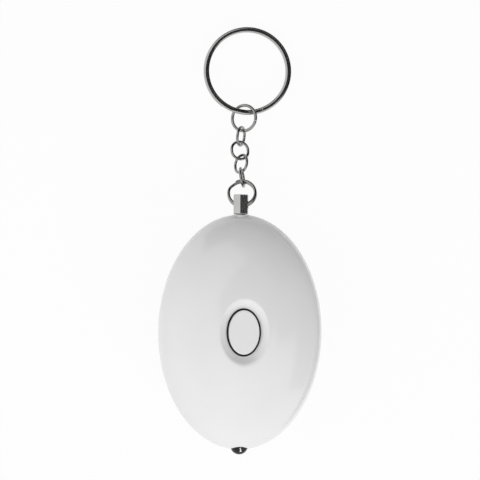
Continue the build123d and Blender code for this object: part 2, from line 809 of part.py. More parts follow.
def make_parts():
    parts = {
        "front_shell": make_front_shell(),
        "rear_shell": make_rear_shell(),
        "case_screws": make_case_screws(),
        "battery_door": make_battery_door(),
        "door_screw": make_door_screw(),
        "circuit_board": make_circuit_board(),
        "board_screws": make_board_screws(),
        "push_button": make_push_button(),
        "switch_body": make_switch_body(),
        "switch_stem": make_switch_stem(),
        "piezo_disc": make_piezo_disc(),
        "piezo_ceramic": make_piezo_ceramic(),
        "piezo_gasket": make_piezo_gasket(),
        "piezo_wire_red": piezo_wire(1),
        "piezo_wire_black": piezo_wire(-1),
        "boost_coil_core": make_boost_coil_core(),
        "boost_coil_winding": make_boost_coil_winding(),
        "capacitor": make_capacitor(),
        "controller_blob": make_controller_blob(),
        "transistors": make_transistors(),
        "resistors": make_resistors(),
        "button_cells": make_button_cells(),
        "positive_contact": contact_strip(1),
        "negative_contact": contact_strip(-1),
        "led_lamp": make_led_lamp(),
        "led_leads": make_led_leads(),
        "pin_bush": make_pin_bush(),
        "pull_pin": make_pull_pin(),
        "moving_contact": make_moving_contact(),
        "contact_base": make_contact_base(),
        "fixed_contact": make_fixed_contact(),
    }
    parts.update(make_chain())
    return parts


def in_metres(point):
    return tuple(round(value * MM / M, 6) for value in point)


def direction(vector):
    return tuple(round(value, 5) for value in vector)


def print_hinges():
    """Where each ring hooks on, in metres, and the line that the next one turns about."""
    rings = hang_chain()
    for number, ring in enumerate(rings):
        print("ring", number, "far hook", in_metres(ring.far), "axis", direction(ring.axis))
        print("ring", number, "near hook", in_metres(ring.near), "axis", direction(ring.across))
    print("key ring centre", in_metres(rings[-1].plane.origin), "square to", direction(rings[-1].plane.z_dir))


os.makedirs("parts", exist_ok=True)
for name, shape in make_parts().items():
    solids = shape if isinstance(shape, list) else [shape]
    export_step(Compound(children=solids) if len(solids) > 1 else solids[0], f"parts/{name}.step")
print_hinges()
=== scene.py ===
# %% [markdown]
# # A personal safety alarm on its key chain
#
# The real alarm is a glossy white egg, 66 mm long, that lies on its flat back. It has an oval push
# button in a shallow dish, a dark lamp in its lower end and a metal pin in its upper end. Pulling the
# pin sets off the siren, and a short chain joins the pin to a key ring.
#
# The scene starts from a fixed frame, which holds every piece at its true size and the joints that
# move them. This lesson dresses that frame: what shows is built again with smoother surfaces and
# softer edges, exactly where its plain twin stands, and everything gets a real finish.

# %% Load the frame
import json
import math

import bmesh
import bpy
from mathutils import Matrix, Vector

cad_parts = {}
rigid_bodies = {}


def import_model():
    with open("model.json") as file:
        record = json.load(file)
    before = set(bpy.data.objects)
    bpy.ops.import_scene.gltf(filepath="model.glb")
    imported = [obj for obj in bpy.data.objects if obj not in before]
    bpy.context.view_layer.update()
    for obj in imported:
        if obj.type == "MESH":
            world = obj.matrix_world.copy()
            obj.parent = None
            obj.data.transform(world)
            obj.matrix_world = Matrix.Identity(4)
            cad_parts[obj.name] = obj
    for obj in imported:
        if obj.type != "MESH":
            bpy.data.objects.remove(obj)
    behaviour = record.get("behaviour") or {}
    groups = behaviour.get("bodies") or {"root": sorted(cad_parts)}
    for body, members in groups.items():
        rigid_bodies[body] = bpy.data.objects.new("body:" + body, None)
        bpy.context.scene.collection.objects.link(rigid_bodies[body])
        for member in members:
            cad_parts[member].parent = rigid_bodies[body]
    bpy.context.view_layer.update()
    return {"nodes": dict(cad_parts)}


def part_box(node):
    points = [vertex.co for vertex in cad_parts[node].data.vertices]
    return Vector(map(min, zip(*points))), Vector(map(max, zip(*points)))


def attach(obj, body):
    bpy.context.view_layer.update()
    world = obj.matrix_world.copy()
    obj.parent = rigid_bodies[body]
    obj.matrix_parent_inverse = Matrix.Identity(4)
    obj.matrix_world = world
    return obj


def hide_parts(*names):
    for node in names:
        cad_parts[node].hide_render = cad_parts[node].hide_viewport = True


for leftover in list(bpy.data.objects):
    bpy.data.objects.remove(leftover)
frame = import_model()

# %% [markdown]
# ## Working in millimetres
#
# Blender counts in metres, and a shell that is 0.0018 m thick is hard to read. So every shape is drawn
# in millimetres, and one helper shrinks it, shades it smooth and hands it over: it marks the edges
# that should look crisp, gives the piece its finish, lets it ride on the body that carries it and
# hides the plain piece that it stands for.

# %% From a drawn shape to a finished piece
MM = 0.001


def mark_crisp_edges(bm, crisp_deg):
    """Faces shade smoothly into each other, except over an edge that turns more than this."""
    for face in bm.faces:
        face.smooth = True
    for edge in bm.edges:
        edge.smooth = edge.calc_face_angle(0) < math.radians(crisp_deg)


def linked(name, data):
    """An object of the scene that holds a mesh, a lamp or a camera."""
    thing = bpy.data.objects.new(name, data)
    bpy.context.scene.collection.objects.link(thing)
    return thing


def as_object(name, bm):
    mesh = bpy.data.meshes.new(name)
    bm.to_mesh(mesh)
    bm.free()
    return linked(name, mesh)


def finished(name, bm, body, slot_name, nodes=(), crisp_deg=32):
    """A shape drawn in millimetres becomes a piece that rides on a body."""
    mark_crisp_edges(bm, crisp_deg)
    bmesh.ops.scale(bm, vec=(MM, MM, MM), verts=bm.verts)
    piece = as_object(name, bm)
    piece.data.materials.append(finishes[slot_name])
    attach(piece, body)
    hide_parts(*nodes)
    print(name, "has", len(piece.data.polygons), "faces")
    return piece


# %% [markdown]
# ## Joining and cutting
#
# A moulded shell is full of bosses, ribs and holes. They could be modelled face by face, but a Boolean
# modifier joins and cuts closed shapes exactly where they cross. Its Manifold solver is quick and only
# asks that every shape is closed. The helper takes a shape and a list of changes, lets the modifiers
# do the work on throwaway objects and gives the result back as a bmesh.

# %% A helper for Boolean work


def carved(bm, *changes):
    """Each change is UNION, DIFFERENCE or INTERSECT, and the closed shape to do it with."""
    shape = as_object("shape", bm)
    tools = []
    for operation, other in changes:
        tool = as_object("shape", other)
        change = shape.modifiers.new(operation, "BOOLEAN")
        change.operation = operation
        change.solver = "MANIFOLD"
        change.object = tool
        tools.append(tool)
    result = bmesh.new()
    result.from_object(shape, bpy.context.evaluated_depsgraph_get())
    for done in [shape, *tools]:
        bpy.data.meshes.remove(done.data)
    return result


def added(*shapes):
    """Closed shapes that don't touch each other, together in one bmesh."""
    together = bmesh.new()
    for shape in shapes:
        mesh = bpy.data.meshes.new("shape")
        shape.to_mesh(mesh)
        shape.free()
        together.from_mesh(mesh)
        bpy.data.meshes.remove(mesh)
    return together


# %% [markdown]
# ## Moving and shaping
#
# A few steps come back in almost every piece: shifting or turning a shape, laying it along the egg,
# easing its edges and pulling a loop of edges off itself.

# %% Moving a shape


def placed(bm, x, y, z):
    bmesh.ops.translate(bm, vec=(x, y, z), verts=bm.verts)
    return bm


def rotated(bm, degrees, axis, centre=(0, 0, 0)):
    matrix = Matrix.Rotation(math.radians(degrees), 3, axis)
    bmesh.ops.rotate(bm, cent=centre, matrix=matrix, verts=bm.verts)
    return bm


def along_y(bm, start, height):
    """Lay a shape that was turned about Z along +Y, with its foot at start."""
    return placed(rotated(bm, -90, "X"), 0, start, height)


def standing(place, x, y, z):
    """The matrix that puts a shape at a place, with its own axes along x, y and z."""
    return Matrix.Translation(place) @ Matrix((x, y, z)).transposed().to_4x4()


def eased(bm, edges, reach, steps=2):
    bmesh.ops.bevel(bm, geom=edges, offset=reach, offset_type="OFFSET", affect="EDGES",
                    segments=steps, profile=0.5, material=-1)


def pulled(bm, loop):
    """Pull a loop of edges off itself. The new points and the new loop lie where the old ones do."""
    grown = bmesh.ops.extrude_edge_only(bm, edges=loop)["geom"]
    verts = [item for item in grown if isinstance(item, bmesh.types.BMVert)]
    return verts, [item for item in grown if isinstance(item, bmesh.types.BMEdge) and item.is_boundary]


# %% [markdown]
# ## Three basic shapes
#
# Nearly everything inside the egg is a turned part, a block or a slot. A lathe shape is a profile of
# (radius, height) points spun a full turn. `use_merge` closes the last step onto the first, and the
# points on the axis fall together, so the ends close too.

# %% Turned shapes, blocks and slots


def turned(profile, steps=48):
    """A profile of (radius, height) points, turned about the Z axis."""
    bm = bmesh.new()
    corners = [bm.verts.new((radius, 0, height)) for radius, height in profile]
    for pair in zip(corners, corners[1:]):
        bm.edges.new(pair)
    bmesh.ops.spin(bm, geom=[*bm.verts, *bm.edges], cent=(0, 0, 0), axis=(0, 0, 1),
                   angle=2 * math.pi, steps=steps, use_merge=True)
    bmesh.ops.remove_doubles(bm, verts=bm.verts, dist=1e-4)
    bmesh.ops.recalc_face_normals(bm, faces=bm.faces)
    return bm


def rod(radius, x, y, low, high, steps=48):
    return placed(turned([(0, low), (radius, low), (radius, high), (0, high)], steps), x, y, 0)


def block(low, high):
    bm = bmesh.new()
    bmesh.ops.create_cube(bm, size=1)
    low, high = Vector(low), Vector(high)
    bmesh.ops.scale(bm, vec=high - low, verts=bm.verts)
    return placed(bm, *(low + high) / 2)


def screw_room(head_room, seat, shank_room, top):
    """Room for a screw from below: wide up to the seat of its head, and narrow from there on."""
    return turned([(0, -1), (head_room, -1), (head_room, seat), (shank_room, seat), (shank_room, top),
                   (0, top)])


def slot_shape(x, y, length, width, low, high):
    """A round-ended slot that runs along Y."""
    sides = 24
    bm = rotated(rod(width / 2, 0, 0, low, high, sides), 180 / sides, "Z")
    bmesh.ops.delete(bm, geom=[v for v in bm.verts if v.co.xy.length < width / 4], context="VERTS")
    for vert in bm.verts:
        vert.co.y += math.copysign((length - width) / 2, vert.co.y)
    bmesh.ops.holes_fill(bm, edges=bm.edges)
    bmesh.ops.recalc_face_normals(bm, faces=bm.faces)
    return placed(bm, x, y, 0)


# %% [markdown]
# ## Finishes: what changes over a surface
#
# No real surface has one flat colour. Moulded plastic flows unevenly, fingers leave it a little less
# glossy here and there, and metal wire carries fine lines from the die it was drawn through. Each such
# effect is a small node group that is built once. It puts out a mask or a normal, and every
# material mixes it in with its own values. The patterns read Object coordinates, so that they sit
# still on the piece, and sizes go in as millimetres.

# %% Node helpers


def node_group(name, inputs, outputs):
    """An empty shader group with named sockets, its input node and its output node."""
    group = bpy.data.node_groups.new(name, "ShaderNodeTree")
    for label, kind, value in inputs:
        socket = group.interface.new_socket(label, in_out="INPUT", socket_type=kind)
        socket.default_value = value
    for label, kind in outputs:
        group.interface.new_socket(label, in_out="OUTPUT", socket_type=kind)
    return group, group.nodes.new("NodeGroupInput"), group.nodes.new("NodeGroupOutput")


def fill(tree, node, values):
    """Fill a node's inputs: a plain value is written in, the output of another node is linked."""
    for socket, value in values.items():
        if isinstance(value, bpy.types.NodeSocket):
            tree.links.new(value, node.inputs[socket])
        else:
            node.inputs[socket].default_value = value


def add(tree, kind, values=(), **settings):
    """A new node, with some of its settings and inputs filled in."""
    node = tree.nodes.new(kind)
    for key, value in settings.items():
        setattr(node, key, value)
    fill(tree, node, dict(values))
    return node


def maths(tree, operation, first, second):
    """A Math node. Each of its two inputs is a socket or a plain number."""
    return add(tree, "ShaderNodeMath", {0: first, 1: second}, operation=operation).outputs[0]


# %% Patches: soft spots, smudges and grain, by their size
def make_patches():
    group, given, result = node_group(
        "Patches",
        [("Size mm", "NodeSocketFloat", 5.0), ("Stretch", "NodeSocketVector", (1, 1, 1)),
         ("Detail", "NodeSocketFloat", 2.0), ("Contrast", "NodeSocketFloat", 0.5)],
        [("Mask", "NodeSocketFloat")])
    place = add(group, "ShaderNodeTexCoord").outputs["Object"]
    stretched = add(group, "ShaderNodeVectorMath", {0: place, 1: given.outputs["Stretch"]},
                    operation="MULTIPLY")
    scale = maths(group, "DIVIDE", 1 / MM, given.outputs["Size mm"])
    noise = add(group, "ShaderNodeTexNoise", {
        "Vector": stretched.outputs[0], "Scale": scale, "Detail": given.outputs["Detail"],
        "Roughness": 0.55})
    centred = maths(group, "SUBTRACT", noise.outputs["Fac"], 0.5)
    stronger = maths(group, "MULTIPLY", centred, maths(group, "MULTIPLY", given.outputs["Contrast"], 4))
    clamped = add(group, "ShaderNodeClamp", {"Value": maths(group, "ADD", stronger, 0.5)})
    fill(group, result, {"Mask": clamped.outputs[0]})
    return group


patches = make_patches()

# %% [markdown]
# ### Soft edges
#
# A tool can't cut a perfectly sharp edge and a hand wears it rounder still. The Bevel node looks a
# short way around each point and returns the normal that a rounded edge would have there. Where that
# normal leans away from the face's own, an edge is near, which also gives a mask for wear.

# %% Rounded edges and a mask for their wear


def make_soft_edges():
    group, given, result = node_group(
        "Soft edges",
        [("Radius mm", "NodeSocketFloat", 0.1), ("Wear", "NodeSocketFloat", 1.0)],
        [("Normal", "NodeSocketVector"), ("Mask", "NodeSocketFloat")])
    radius = maths(group, "MULTIPLY", given.outputs["Radius mm"], MM)
    bevel = add(group, "ShaderNodeBevel", {"Radius": radius}, samples=6)
    surface = add(group, "ShaderNodeNewGeometry")
    lean = add(group, "ShaderNodeVectorMath", {0: bevel.outputs[0], 1: surface.outputs["Normal"]},
               operation="DOT_PRODUCT")
    away = maths(group, "SUBTRACT", 1, lean.outputs["Value"])
    wear = maths(group, "MULTIPLY", away, maths(group, "MULTIPLY", given.outputs["Wear"], 6))
    mask = add(group, "ShaderNodeClamp", {"Value": wear})
    fill(group, result, {"Normal": bevel.outputs[0], "Mask": mask.outputs[0]})
    return group


soft_edges = make_soft_edges()

# %% [markdown]
# ### Painted shade in the slot round the button
#
# The slot is narrower than it is deep, so little light gets into it and it looks almost black. That
# shade is painted into the colour: the walls and floor are darkened by their place, every point inside
# its oval, below its mouth and not deeper than it goes. The casing and the button both use it, so it
# is a group.

# %% A mask that paints shade into the slot round the button


def make_painted_slot_shade():
    group, given, result = node_group(
        "Painted slot shade",
        [("Half width mm", "NodeSocketFloat", 5.0), ("Half length mm", "NodeSocketFloat", 7.0),
         ("Mouth mm", "NodeSocketFloat", 19.0), ("Depth mm", "NodeSocketFloat", 1.0)],
        [("Mask", "NodeSocketFloat")])
    place = add(group, "ShaderNodeTexCoord").outputs["Object"]
    point = add(group, "ShaderNodeSeparateXYZ", {0: place})
    across, along, height = (maths(group, "DIVIDE", point.outputs[axis], MM) for axis in "XYZ")
    squares = []
    for length, label in ((across, "Half width mm"), (along, "Half length mm")):
        share = maths(group, "DIVIDE", length, given.outputs[label])
        squares.append(maths(group, "MULTIPLY", share, share))
    inside = maths(group, "LESS_THAN", maths(group, "ADD", *squares), 1)
    sunk = maths(group, "SUBTRACT", given.outputs["Mouth mm"], height)
    under = maths(group, "GREATER_THAN", sunk, 0)
    over = maths(group, "LESS_THAN", sunk, given.outputs["Depth mm"])
    mask = maths(group, "MULTIPLY", inside, maths(group, "MULTIPLY", under, over))
    fill(group, result, {"Mask": mask})
    return group


painted_slot_shade = make_painted_slot_shade()
# The oval, mouth and depth of the painted slot shade, in millimetres
slot_shade_size = {"Half width mm": 5.2, "Half length mm": 7.1, "Mouth mm": 19.36, "Depth mm": 0.85}

# %% [markdown]
# ### Drawn wire
#
# Ring wire is pulled through a die, which leaves faint lines along its length. The sweep that builds
# the rings stores, on every point, where it lies in the wire's section and how far along the wire it
# is. A noise that is squeezed across the section and long along the wire turns that into lines.

# %% Fine lines along a drawn wire


def make_drawn_lines():
    group, given, result = node_group(
        "Drawn lines",
        [("Line mm", "NodeSocketFloat", 0.06), ("Run mm", "NodeSocketFloat", 2.5)],
        [("Mask", "NodeSocketFloat")])
    wire = add(group, "ShaderNodeAttribute", attribute_name="drawn", attribute_type="GEOMETRY")
    across = maths(group, "DIVIDE", 1, given.outputs["Line mm"])
    lengthwise = maths(group, "DIVIDE", 1, given.outputs["Run mm"])
    scale = add(group, "ShaderNodeCombineXYZ", {"X": across, "Y": across, "Z": lengthwise})
    squeezed = add(group, "ShaderNodeVectorMath", {0: wire.outputs["Vector"], 1: scale.outputs[0]},
                   operation="MULTIPLY")
    noise = add(group, "ShaderNodeTexNoise", {
        "Vector": squeezed.outputs[0], "Scale": 1.0, "Detail": 2.0})
    fill(group, result, {"Mask": noise.outputs["Fac"]})
    return group


drawn_lines = make_drawn_lines()

# %% [markdown]
# ## Finishes: the materials
#
# The shader itself stays in each material. Whatever is the same all over is set straight on its
# sockets, and only what changes from place to place comes through nodes: a colour between two close
# tones, a roughness between two values, and a fine bump on top of the rounded edges.

# %% Building blocks of a material


def blank(name, values):
    """A new material, its node tree and its Principled shader with plain values set."""
    material = bpy.data.materials.new(name)
    material.use_nodes = True
    tree = material.node_tree
    shader = tree.nodes["Principled BSDF"]
    fill(tree, shader, values)
    return material, tree, shader


def use(tree, group, values):
    """The outputs of one of the groups above, with this material's own values."""
    return add(tree, "ShaderNodeGroup", values, node_tree=group).outputs


def patchy(tree, size_mm, detail, contrast, stretch=(1, 1, 1)):
    """A mask of patches of about this size."""
    return use(tree, patches, {"Size mm": size_mm, "Detail": detail, "Contrast": contrast,
                               "Stretch": stretch})["Mask"]


def between(tree, mask, low, high):
    """A number that goes from low to high with a mask."""
    return add(tree, "ShaderNodeMapRange", {"Value": mask, "To Min": low, "To Max": high}).outputs[0]


def colour_between(tree, mask, first, second):
    """A colour that goes from the first to the second with a mask. Each is a colour or a socket."""
    first, second = ((*end, 1) if isinstance(end, tuple) else end for end in (first, second))
    return add(tree, "ShaderNodeMix", {"Factor": mask, 6: first, 7: second}, data_type="RGBA").outputs[2]


def bumped(tree, height, depth_mm, strength, under=None):
    """A normal with fine relief, on top of another normal if one is given."""
    values = {"Height": height, "Distance": depth_mm * MM, "Strength": strength}
    if under:
        values["Normal"] = under
    return add(tree, "ShaderNodeBump", values).outputs[0]


def toned(colour, share):
    return tuple(value * share for value in colour)


# %% [markdown]
# ### Moulded plastic
#
# The casing is glossy white plastic, and a clear coat stands for its polished skin. Its tone drifts a
# little where the melt flowed, fingers have made soft smudges in the gloss, and the skin has the faint
# unevenness called orange peel. The same recipe with other values gives the black and coloured
# plastics.

# %% Plastics


def moulded_plastic(name, colour, roughness, drift=0.97, worn=1.03, skin=0.12, gloss=0.0,
                    paints_slot_shade=False):
    material, tree, shader = blank(name, {"IOR": 1.46, "Coat Weight": gloss, "Coat Roughness": 0.1})
    flow = patchy(tree, size_mm=16.0, detail=2.0, contrast=0.5)
    smudges = patchy(tree, size_mm=7.0, detail=2.0, contrast=0.3)
    peel = patchy(tree, size_mm=0.5, detail=1.0, contrast=0.5)
    edges = use(tree, soft_edges, {"Radius mm": 0.12, "Wear": 0.5})
    tone = colour_between(tree, flow, colour, toned(colour, drift))
    tone = colour_between(tree, edges["Mask"], tone, toned(colour, worn))
    # Painted shade: the slot round the button is darkened almost to black.
    if paints_slot_shade:
        slot = use(tree, painted_slot_shade, slot_shade_size)
        tone = colour_between(tree, slot["Mask"], tone, toned(colour, 0.02))
    relief = bumped(tree, peel, depth_mm=0.004, strength=skin, under=edges["Normal"])
    fill(tree, shader, {"Base Color": tone, "Normal": relief,
                        "Roughness": between(tree, smudges, roughness * 0.94, roughness * 1.07)})
    return material


# %% [markdown]
# ### Metals
#
# Plated steel is all reflection: the colour comes from what stands around it. Nickel is darker than
# chrome, and on the links, which rub on each other, duller than on the key ring. Handling leaves
# hair-fine scratches and patches where the plating has dulled, so the roughness goes from almost a
# mirror to satin.

# %% Metals


def plated_wire(name, colour, roughness):
    """Bright plated wire, with the faint lines of its drawing die."""
    material, tree, shader = blank(name, {"Metallic": 1.0})
    lines = use(tree, drawn_lines, {"Line mm": 0.07, "Run mm": 3.0})["Mask"]
    dulled = patchy(tree, size_mm=2.2, detail=3.0, contrast=0.6)
    both = maths(tree, "MULTIPLY", lines, dulled)
    fill(tree, shader, {"Base Color": colour_between(tree, dulled, colour, toned(colour, 0.9)),
                        "Roughness": between(tree, both, roughness * 0.7, roughness * 1.7),
                        "Normal": bumped(tree, lines, depth_mm=0.004, strength=0.25)})
    return material


def machined_metal(name, colour, roughness, stretch=(1, 1, 1), grain_mm=0.12, depth=0.3):
    """Cut or pressed metal, with grain that can be stretched into brush lines."""
    material, tree, shader = blank(name, {"Metallic": 1.0})
    grain = patchy(tree, size_mm=grain_mm, detail=3.0, contrast=0.6, stretch=stretch)
    stains = patchy(tree, size_mm=3.0, detail=3.0, contrast=0.6)
    edges = use(tree, soft_edges, {"Radius mm": 0.06, "Wear": 1.0})
    tone = colour_between(tree, stains, colour, toned(colour, 0.88))
    tone = colour_between(tree, edges["Mask"], tone, toned(colour, 1.15))
    relief = bumped(tree, grain, depth_mm=0.01, strength=depth, under=edges["Normal"])
    fill(tree, shader, {"Base Color": tone, "Normal": relief,
                        "Roughness": between(tree, grain, roughness * 0.75, roughness * 1.3)})
    return material


# %% [markdown]
# ### The rest
#
# The lamp is smoked epoxy over a dark core, so it is nearly black with a hard gloss; a low index keeps
# its reflections dark. The board is fibreglass under green lacquer, with tracks that show as slightly
# raised bands. The inner pieces are seldom seen, but each has a finish of its own too.

# %% Lamp and board


def smoked_lens(name):
    material, tree, shader = blank(name, {"IOR": 1.3})
    haze = patchy(tree, size_mm=1.6, detail=2.0, contrast=0.5)
    tone = colour_between(tree, haze, (0.012, 0.012, 0.014), (0.03, 0.029, 0.03))
    fill(tree, shader, {"Base Color": tone, "Roughness": between(tree, haze, 0.03, 0.07)})
    return material


def lacquered_board(name):
    material, tree, shader = blank(name, {"IOR": 1.5})
    tracks = add(tree, "ShaderNodeTexBrick", {
        "Vector": add(tree, "ShaderNodeTexCoord").outputs["Object"], "Scale": 1 / MM,
        "Color1": (0, 0, 0, 1), "Color2": (0, 0, 0, 1), "Mortar": (1, 1, 1, 1),
        "Mortar Size": 0.25, "Mortar Smooth": 0.2, "Brick Width": 5.2, "Row Height": 2.1})
    tracks = tracks.outputs["Color"]
    weave = patchy(tree, size_mm=0.4, detail=1.0, contrast=0.6)
    tone = colour_between(tree, weave, (0.02, 0.13, 0.045), (0.025, 0.16, 0.055))
    fill(tree, shader, {"Base Color": colour_between(tree, tracks, tone, (0.04, 0.24, 0.09)),
                        "Roughness": between(tree, weave, 0.25, 0.4),
                        "Normal": bumped(tree, tracks, depth_mm=0.03, strength=0.5)})
    return material


# %% Every finish, by the name of the frame's material slot
WHITE = (0.82, 0.82, 0.822)
STEEL = (0.555, 0.555, 0.55)
NICKEL = (0.475, 0.473, 0.468)
DULL_NICKEL = (0.337, 0.336, 0.332)
BRASS = (0.80, 0.60, 0.28)
finishes = {
    "white_casing": moulded_plastic("glossy white casing", WHITE, 0.3, gloss=0.8, paints_slot_shade=True),
    "white_rear_casing": moulded_plastic("glossy white back", WHITE, 0.34, gloss=0.8),
    "white_button": moulded_plastic("white button", WHITE, 0.34, paints_slot_shade=True),
    "white_door": moulded_plastic("satin white door", WHITE, 0.42, skin=0.3),
    "black_plastic": moulded_plastic("black moulding", (0.02, 0.02, 0.022), 0.45, drift=0.7, worn=2.2),
    "bush_plastic": moulded_plastic("pin bush plastic", (0.72, 0.72, 0.70), 0.4),
    "red_lead": moulded_plastic("red wire cover", (0.42, 0.02, 0.015), 0.4, drift=0.8),
    "black_lead": moulded_plastic("black wire cover", (0.018, 0.018, 0.02), 0.4, drift=0.7),
    "gasket_rubber": moulded_plastic("foam gasket", (0.045, 0.045, 0.048), 0.85, drift=0.6, skin=1.0),
    "white_ceramic": moulded_plastic("fired ceramic", (0.74, 0.73, 0.68), 0.55, drift=0.9, skin=0.5),
    "ferrite": moulded_plastic("ferrite core", (0.035, 0.034, 0.036), 0.6, drift=0.6, worn=1.8),
    "resistor_body": moulded_plastic("resistor glaze", (0.03, 0.03, 0.035), 0.3, drift=0.7, worn=1.8),
    "pin_metal": machined_metal("pull pin steel", STEEL, 0.2, stretch=(1, 0.25, 1), grain_mm=0.1),
    "screw_metal": machined_metal("zinc screw", (0.62, 0.62, 0.60), 0.28),
    "cell_steel": machined_metal("cell can", (0.68, 0.67, 0.64), 0.22, grain_mm=0.2, depth=0.15),
    "tinned_metal": machined_metal("tinned strip", (0.70, 0.70, 0.69), 0.3),
    "brass_sheet": machined_metal("brass sheet", BRASS, 0.28, stretch=(1, 0.1, 1)),
    "copper_wire": machined_metal("copper winding", (0.72, 0.32, 0.16), 0.3, stretch=(0.1, 0.1, 6)),
    "ring_metal": plated_wire("nickel wire", DULL_NICKEL, 0.13),
    "key_ring_metal": plated_wire("nickel key ring", NICKEL, 0.12),
    "dark_lamp": smoked_lens("smoked lamp"),
    "board_green": lacquered_board("green board"),
}
print(len(finishes), "finishes")

# %% [markdown]
# ## The egg
#
# Seen from the front the casing is an exact ellipse, and from the side each half is a shallow dome.
# A sphere scaled three ways would come close, but it can't carry a dish, a seam and a wall. Instead
# the skin is drawn as one oval loop that is pulled from station to station, as a boat's hull is lofted
# over its frames. A station is (half length, half width, height), so the dish can have its own oval
# and the outside another, and the walls keep their thickness.

# %% Sizes of the egg, in millimetres
body_length = 66.4
body_width = 46.4
parting = 10.5
wall = 1.8
front_rise = 11.0
front_land = 4.0
back_drop = 10.55
back_land = 15.0
seam_width = 0.3
seam_depth = 0.3
egg_sides = 256
outer_steps = 56
inner_steps = 20


def dome_station(rise, land, inset, turn):
    """A loop of the egg drawn in by inset. turn goes from 0 at the flat top to 90 degrees at the rim."""
    length = land + (body_length / 2 - inset - land) * math.sin(turn)
    squeeze = (body_width / 2 - inset) / (body_length / 2 - inset)
    return Vector((length, length * squeeze, (rise - inset) * math.cos(turn)))


def turn_at_length(land, inset, length):
    return math.asin((length - land) / (body_length / 2 - inset - land))


def turn_at_height(rise, inset, height):
    return math.acos(height / (rise - inset))


def spread(first, last, steps):
    """Evenly spaced values from the first to the last, both included."""
    return [first + (last - first) * step / steps for step in range(steps + 1)]


def front_stations(inset, first_turn, last_turn, steps):
    """Loops over the front half."""
    turns = spread(first_turn, last_turn, steps)
    places = [dome_station(front_rise, front_land, inset, turn) for turn in turns]
    return [Vector((place.x, place.y, parting + place.z)) for place in places]


def back_stations(inset, last_turn, steps):
    """Loops over the back half, from the flat that it rests on."""
    turns = spread(turn_at_height(back_drop, inset, parting - inset), last_turn, steps)
    places = [dome_station(back_drop, back_land, inset, turn) for turn in turns]
    return [Vector((place.x, place.y, parting - place.z)) for place in places]


def rounded(before, corner, after, reach, steps=5):
    """A smooth turn round a corner, in place of the corner itself."""
    start = corner + (before - corner).normalized() * reach
    end = corner + (after - corner).normalized() * reach
    return [start.lerp(corner, t).lerp(corner.lerp(end, t), t) for t in spread(0, 1, steps)]


def lofted(stations, ends="closed", sides=egg_sides):
    """Pull an oval loop through its stations, and close it with caps or onto its own start."""
    bm = bmesh.new()
    verts = bmesh.ops.create_circle(bm, segments=sides, radius=1)["verts"]
    first_loop = loop = list(bm.edges)
    here = Vector((1, 1, 0))
    for number, station in enumerate(stations):
        if number:
            verts, loop = pulled(bm, loop)
        bmesh.ops.scale(bm, vec=(station.y / here.y, station.x / here.x, 1), verts=verts)
        bmesh.ops.translate(bm, vec=(0, 0, station.z - here.z), verts=verts)
        here = station
    if ends == "joined":
        bmesh.ops.bridge_loops(bm, edges=first_loop + loop)
    else:
        bmesh.ops.edgeloop_fill(bm, edges=first_loop)
        bmesh.ops.edgeloop_fill(bm, edges=loop)
    bmesh.ops.recalc_face_normals(bm, faces=bm.faces)
    return bm


# %% [markdown]
# ## Front shell
#
# Here the loop starts at the foot of the button's well, climbs the well and the dish, runs out over
# the dome to the seam, steps in under the lip and comes back along the inside to where it began. The
# dish is a plain cone with an eased rim. It is a rounder oval than the body, so the first loops outside
# the rim change slowly from one oval into the other.

# %% Sizes of the dish and the well
dish = Vector((18.2 / 2, 13.6 / 2, 0))
dish_depth = 2.0
well = Vector((13.5 / 2, 9.7 / 2, 0))
well_depth = 0.7
boss_rim = 0.7
lip_height = 1.0
lip_inset = 1.0
lip_gap = 0.1
rim_round = 0.7
small_round = 0.12
rim_turn = turn_at_length(front_land, 0, dish.x)
rim_z = parting + dome_station(front_rise, front_land, 0, rim_turn).z
dish_floor_z = rim_z - dish_depth
well_floor_z = dish_floor_z - well_depth
print("dish rim at", round(rim_z, 3), "mm, floor at", round(dish_floor_z, 3), "mm")


def oval(size, height, grow=0.0):
    return Vector((size.x + grow, size.y + grow, height))


def body_oval(inset, height):
    return Vector((body_length / 2 - inset, body_width / 2 - inset, height))


def front_skin():
    last_turn = turn_at_height(front_rise, 0, seam_width / 2)
    dome = front_stations(0, rim_turn, last_turn, outer_steps)
    fade_length = 9
    fade_end = dome[0].x + fade_length
    for station in dome:
        fade = max(0, (fade_end - station.x) / (fade_end - dish.x)) ** 2
        station.y *= 1 + fade * (dish.y / dish.x * body_length / body_width - 1)
    inner_low = turn_at_height(front_rise, wall, lip_height + lip_gap)
    inner_high = turn_at_length(front_land, wall, dish.x + boss_rim)
    inside = front_stations(wall, inner_low, inner_high, inner_steps)
    well_foot, well_top = oval(well, well_floor_z), oval(well, dish_floor_z)
    seam_z = parting + seam_width / 2
    corner = body_oval(0, seam_z)
    notch = body_oval(seam_depth, seam_z)
    lip_edge = body_oval(lip_inset - lip_gap, parting)
    boss_foot = oval(dish, well_floor_z, boss_rim)
    return lofted([
        well_foot,
        *rounded(well_foot, well_top, dome[0], small_round),
        *rounded(well_top, dome[0], dome[1], rim_round),
        *dome[1:-1],
        *rounded(dome[-2], corner, notch, small_round),
        notch,
        body_oval(seam_depth, parting),
        lip_edge,
        lip_edge + Vector((0, 0, lip_height + lip_gap)),
        *inside,
        Vector((boss_foot.x, boss_foot.y, inside[-1].z - small_round)),
        boss_foot,
    ], "joined")


# %% [markdown]
# The front half also carries four bosses for the case screws, four posts for the board and two cross
# ribs. They are cut to the inside of the dome first, half a wall deep, so nothing can poke through
# to the glossy side. Holes for the lamp and the pin's bush are bored last, through both shells alike.

# %% Bosses, bores and the front shell
tower_places = [(-14.5, 14.0), (14.5, 14.0), (-14.5, -9.5), (14.5, -9.5)]
post_places = [(-9.0, 12.0), (9.0, 12.0), (-9.0, -20.0), (9.0, -20.0)]
front_boss_low = 6.1
lamp_bore = (2.6, -36.0, -27.05)
bush_bore = (2.45, 24.5, 34.5)
rib_half = 4.5
lamp_rib = (-28.7, -27.1)
bush_rib = (26.0, 27.6)
boss_bite = wall / 2


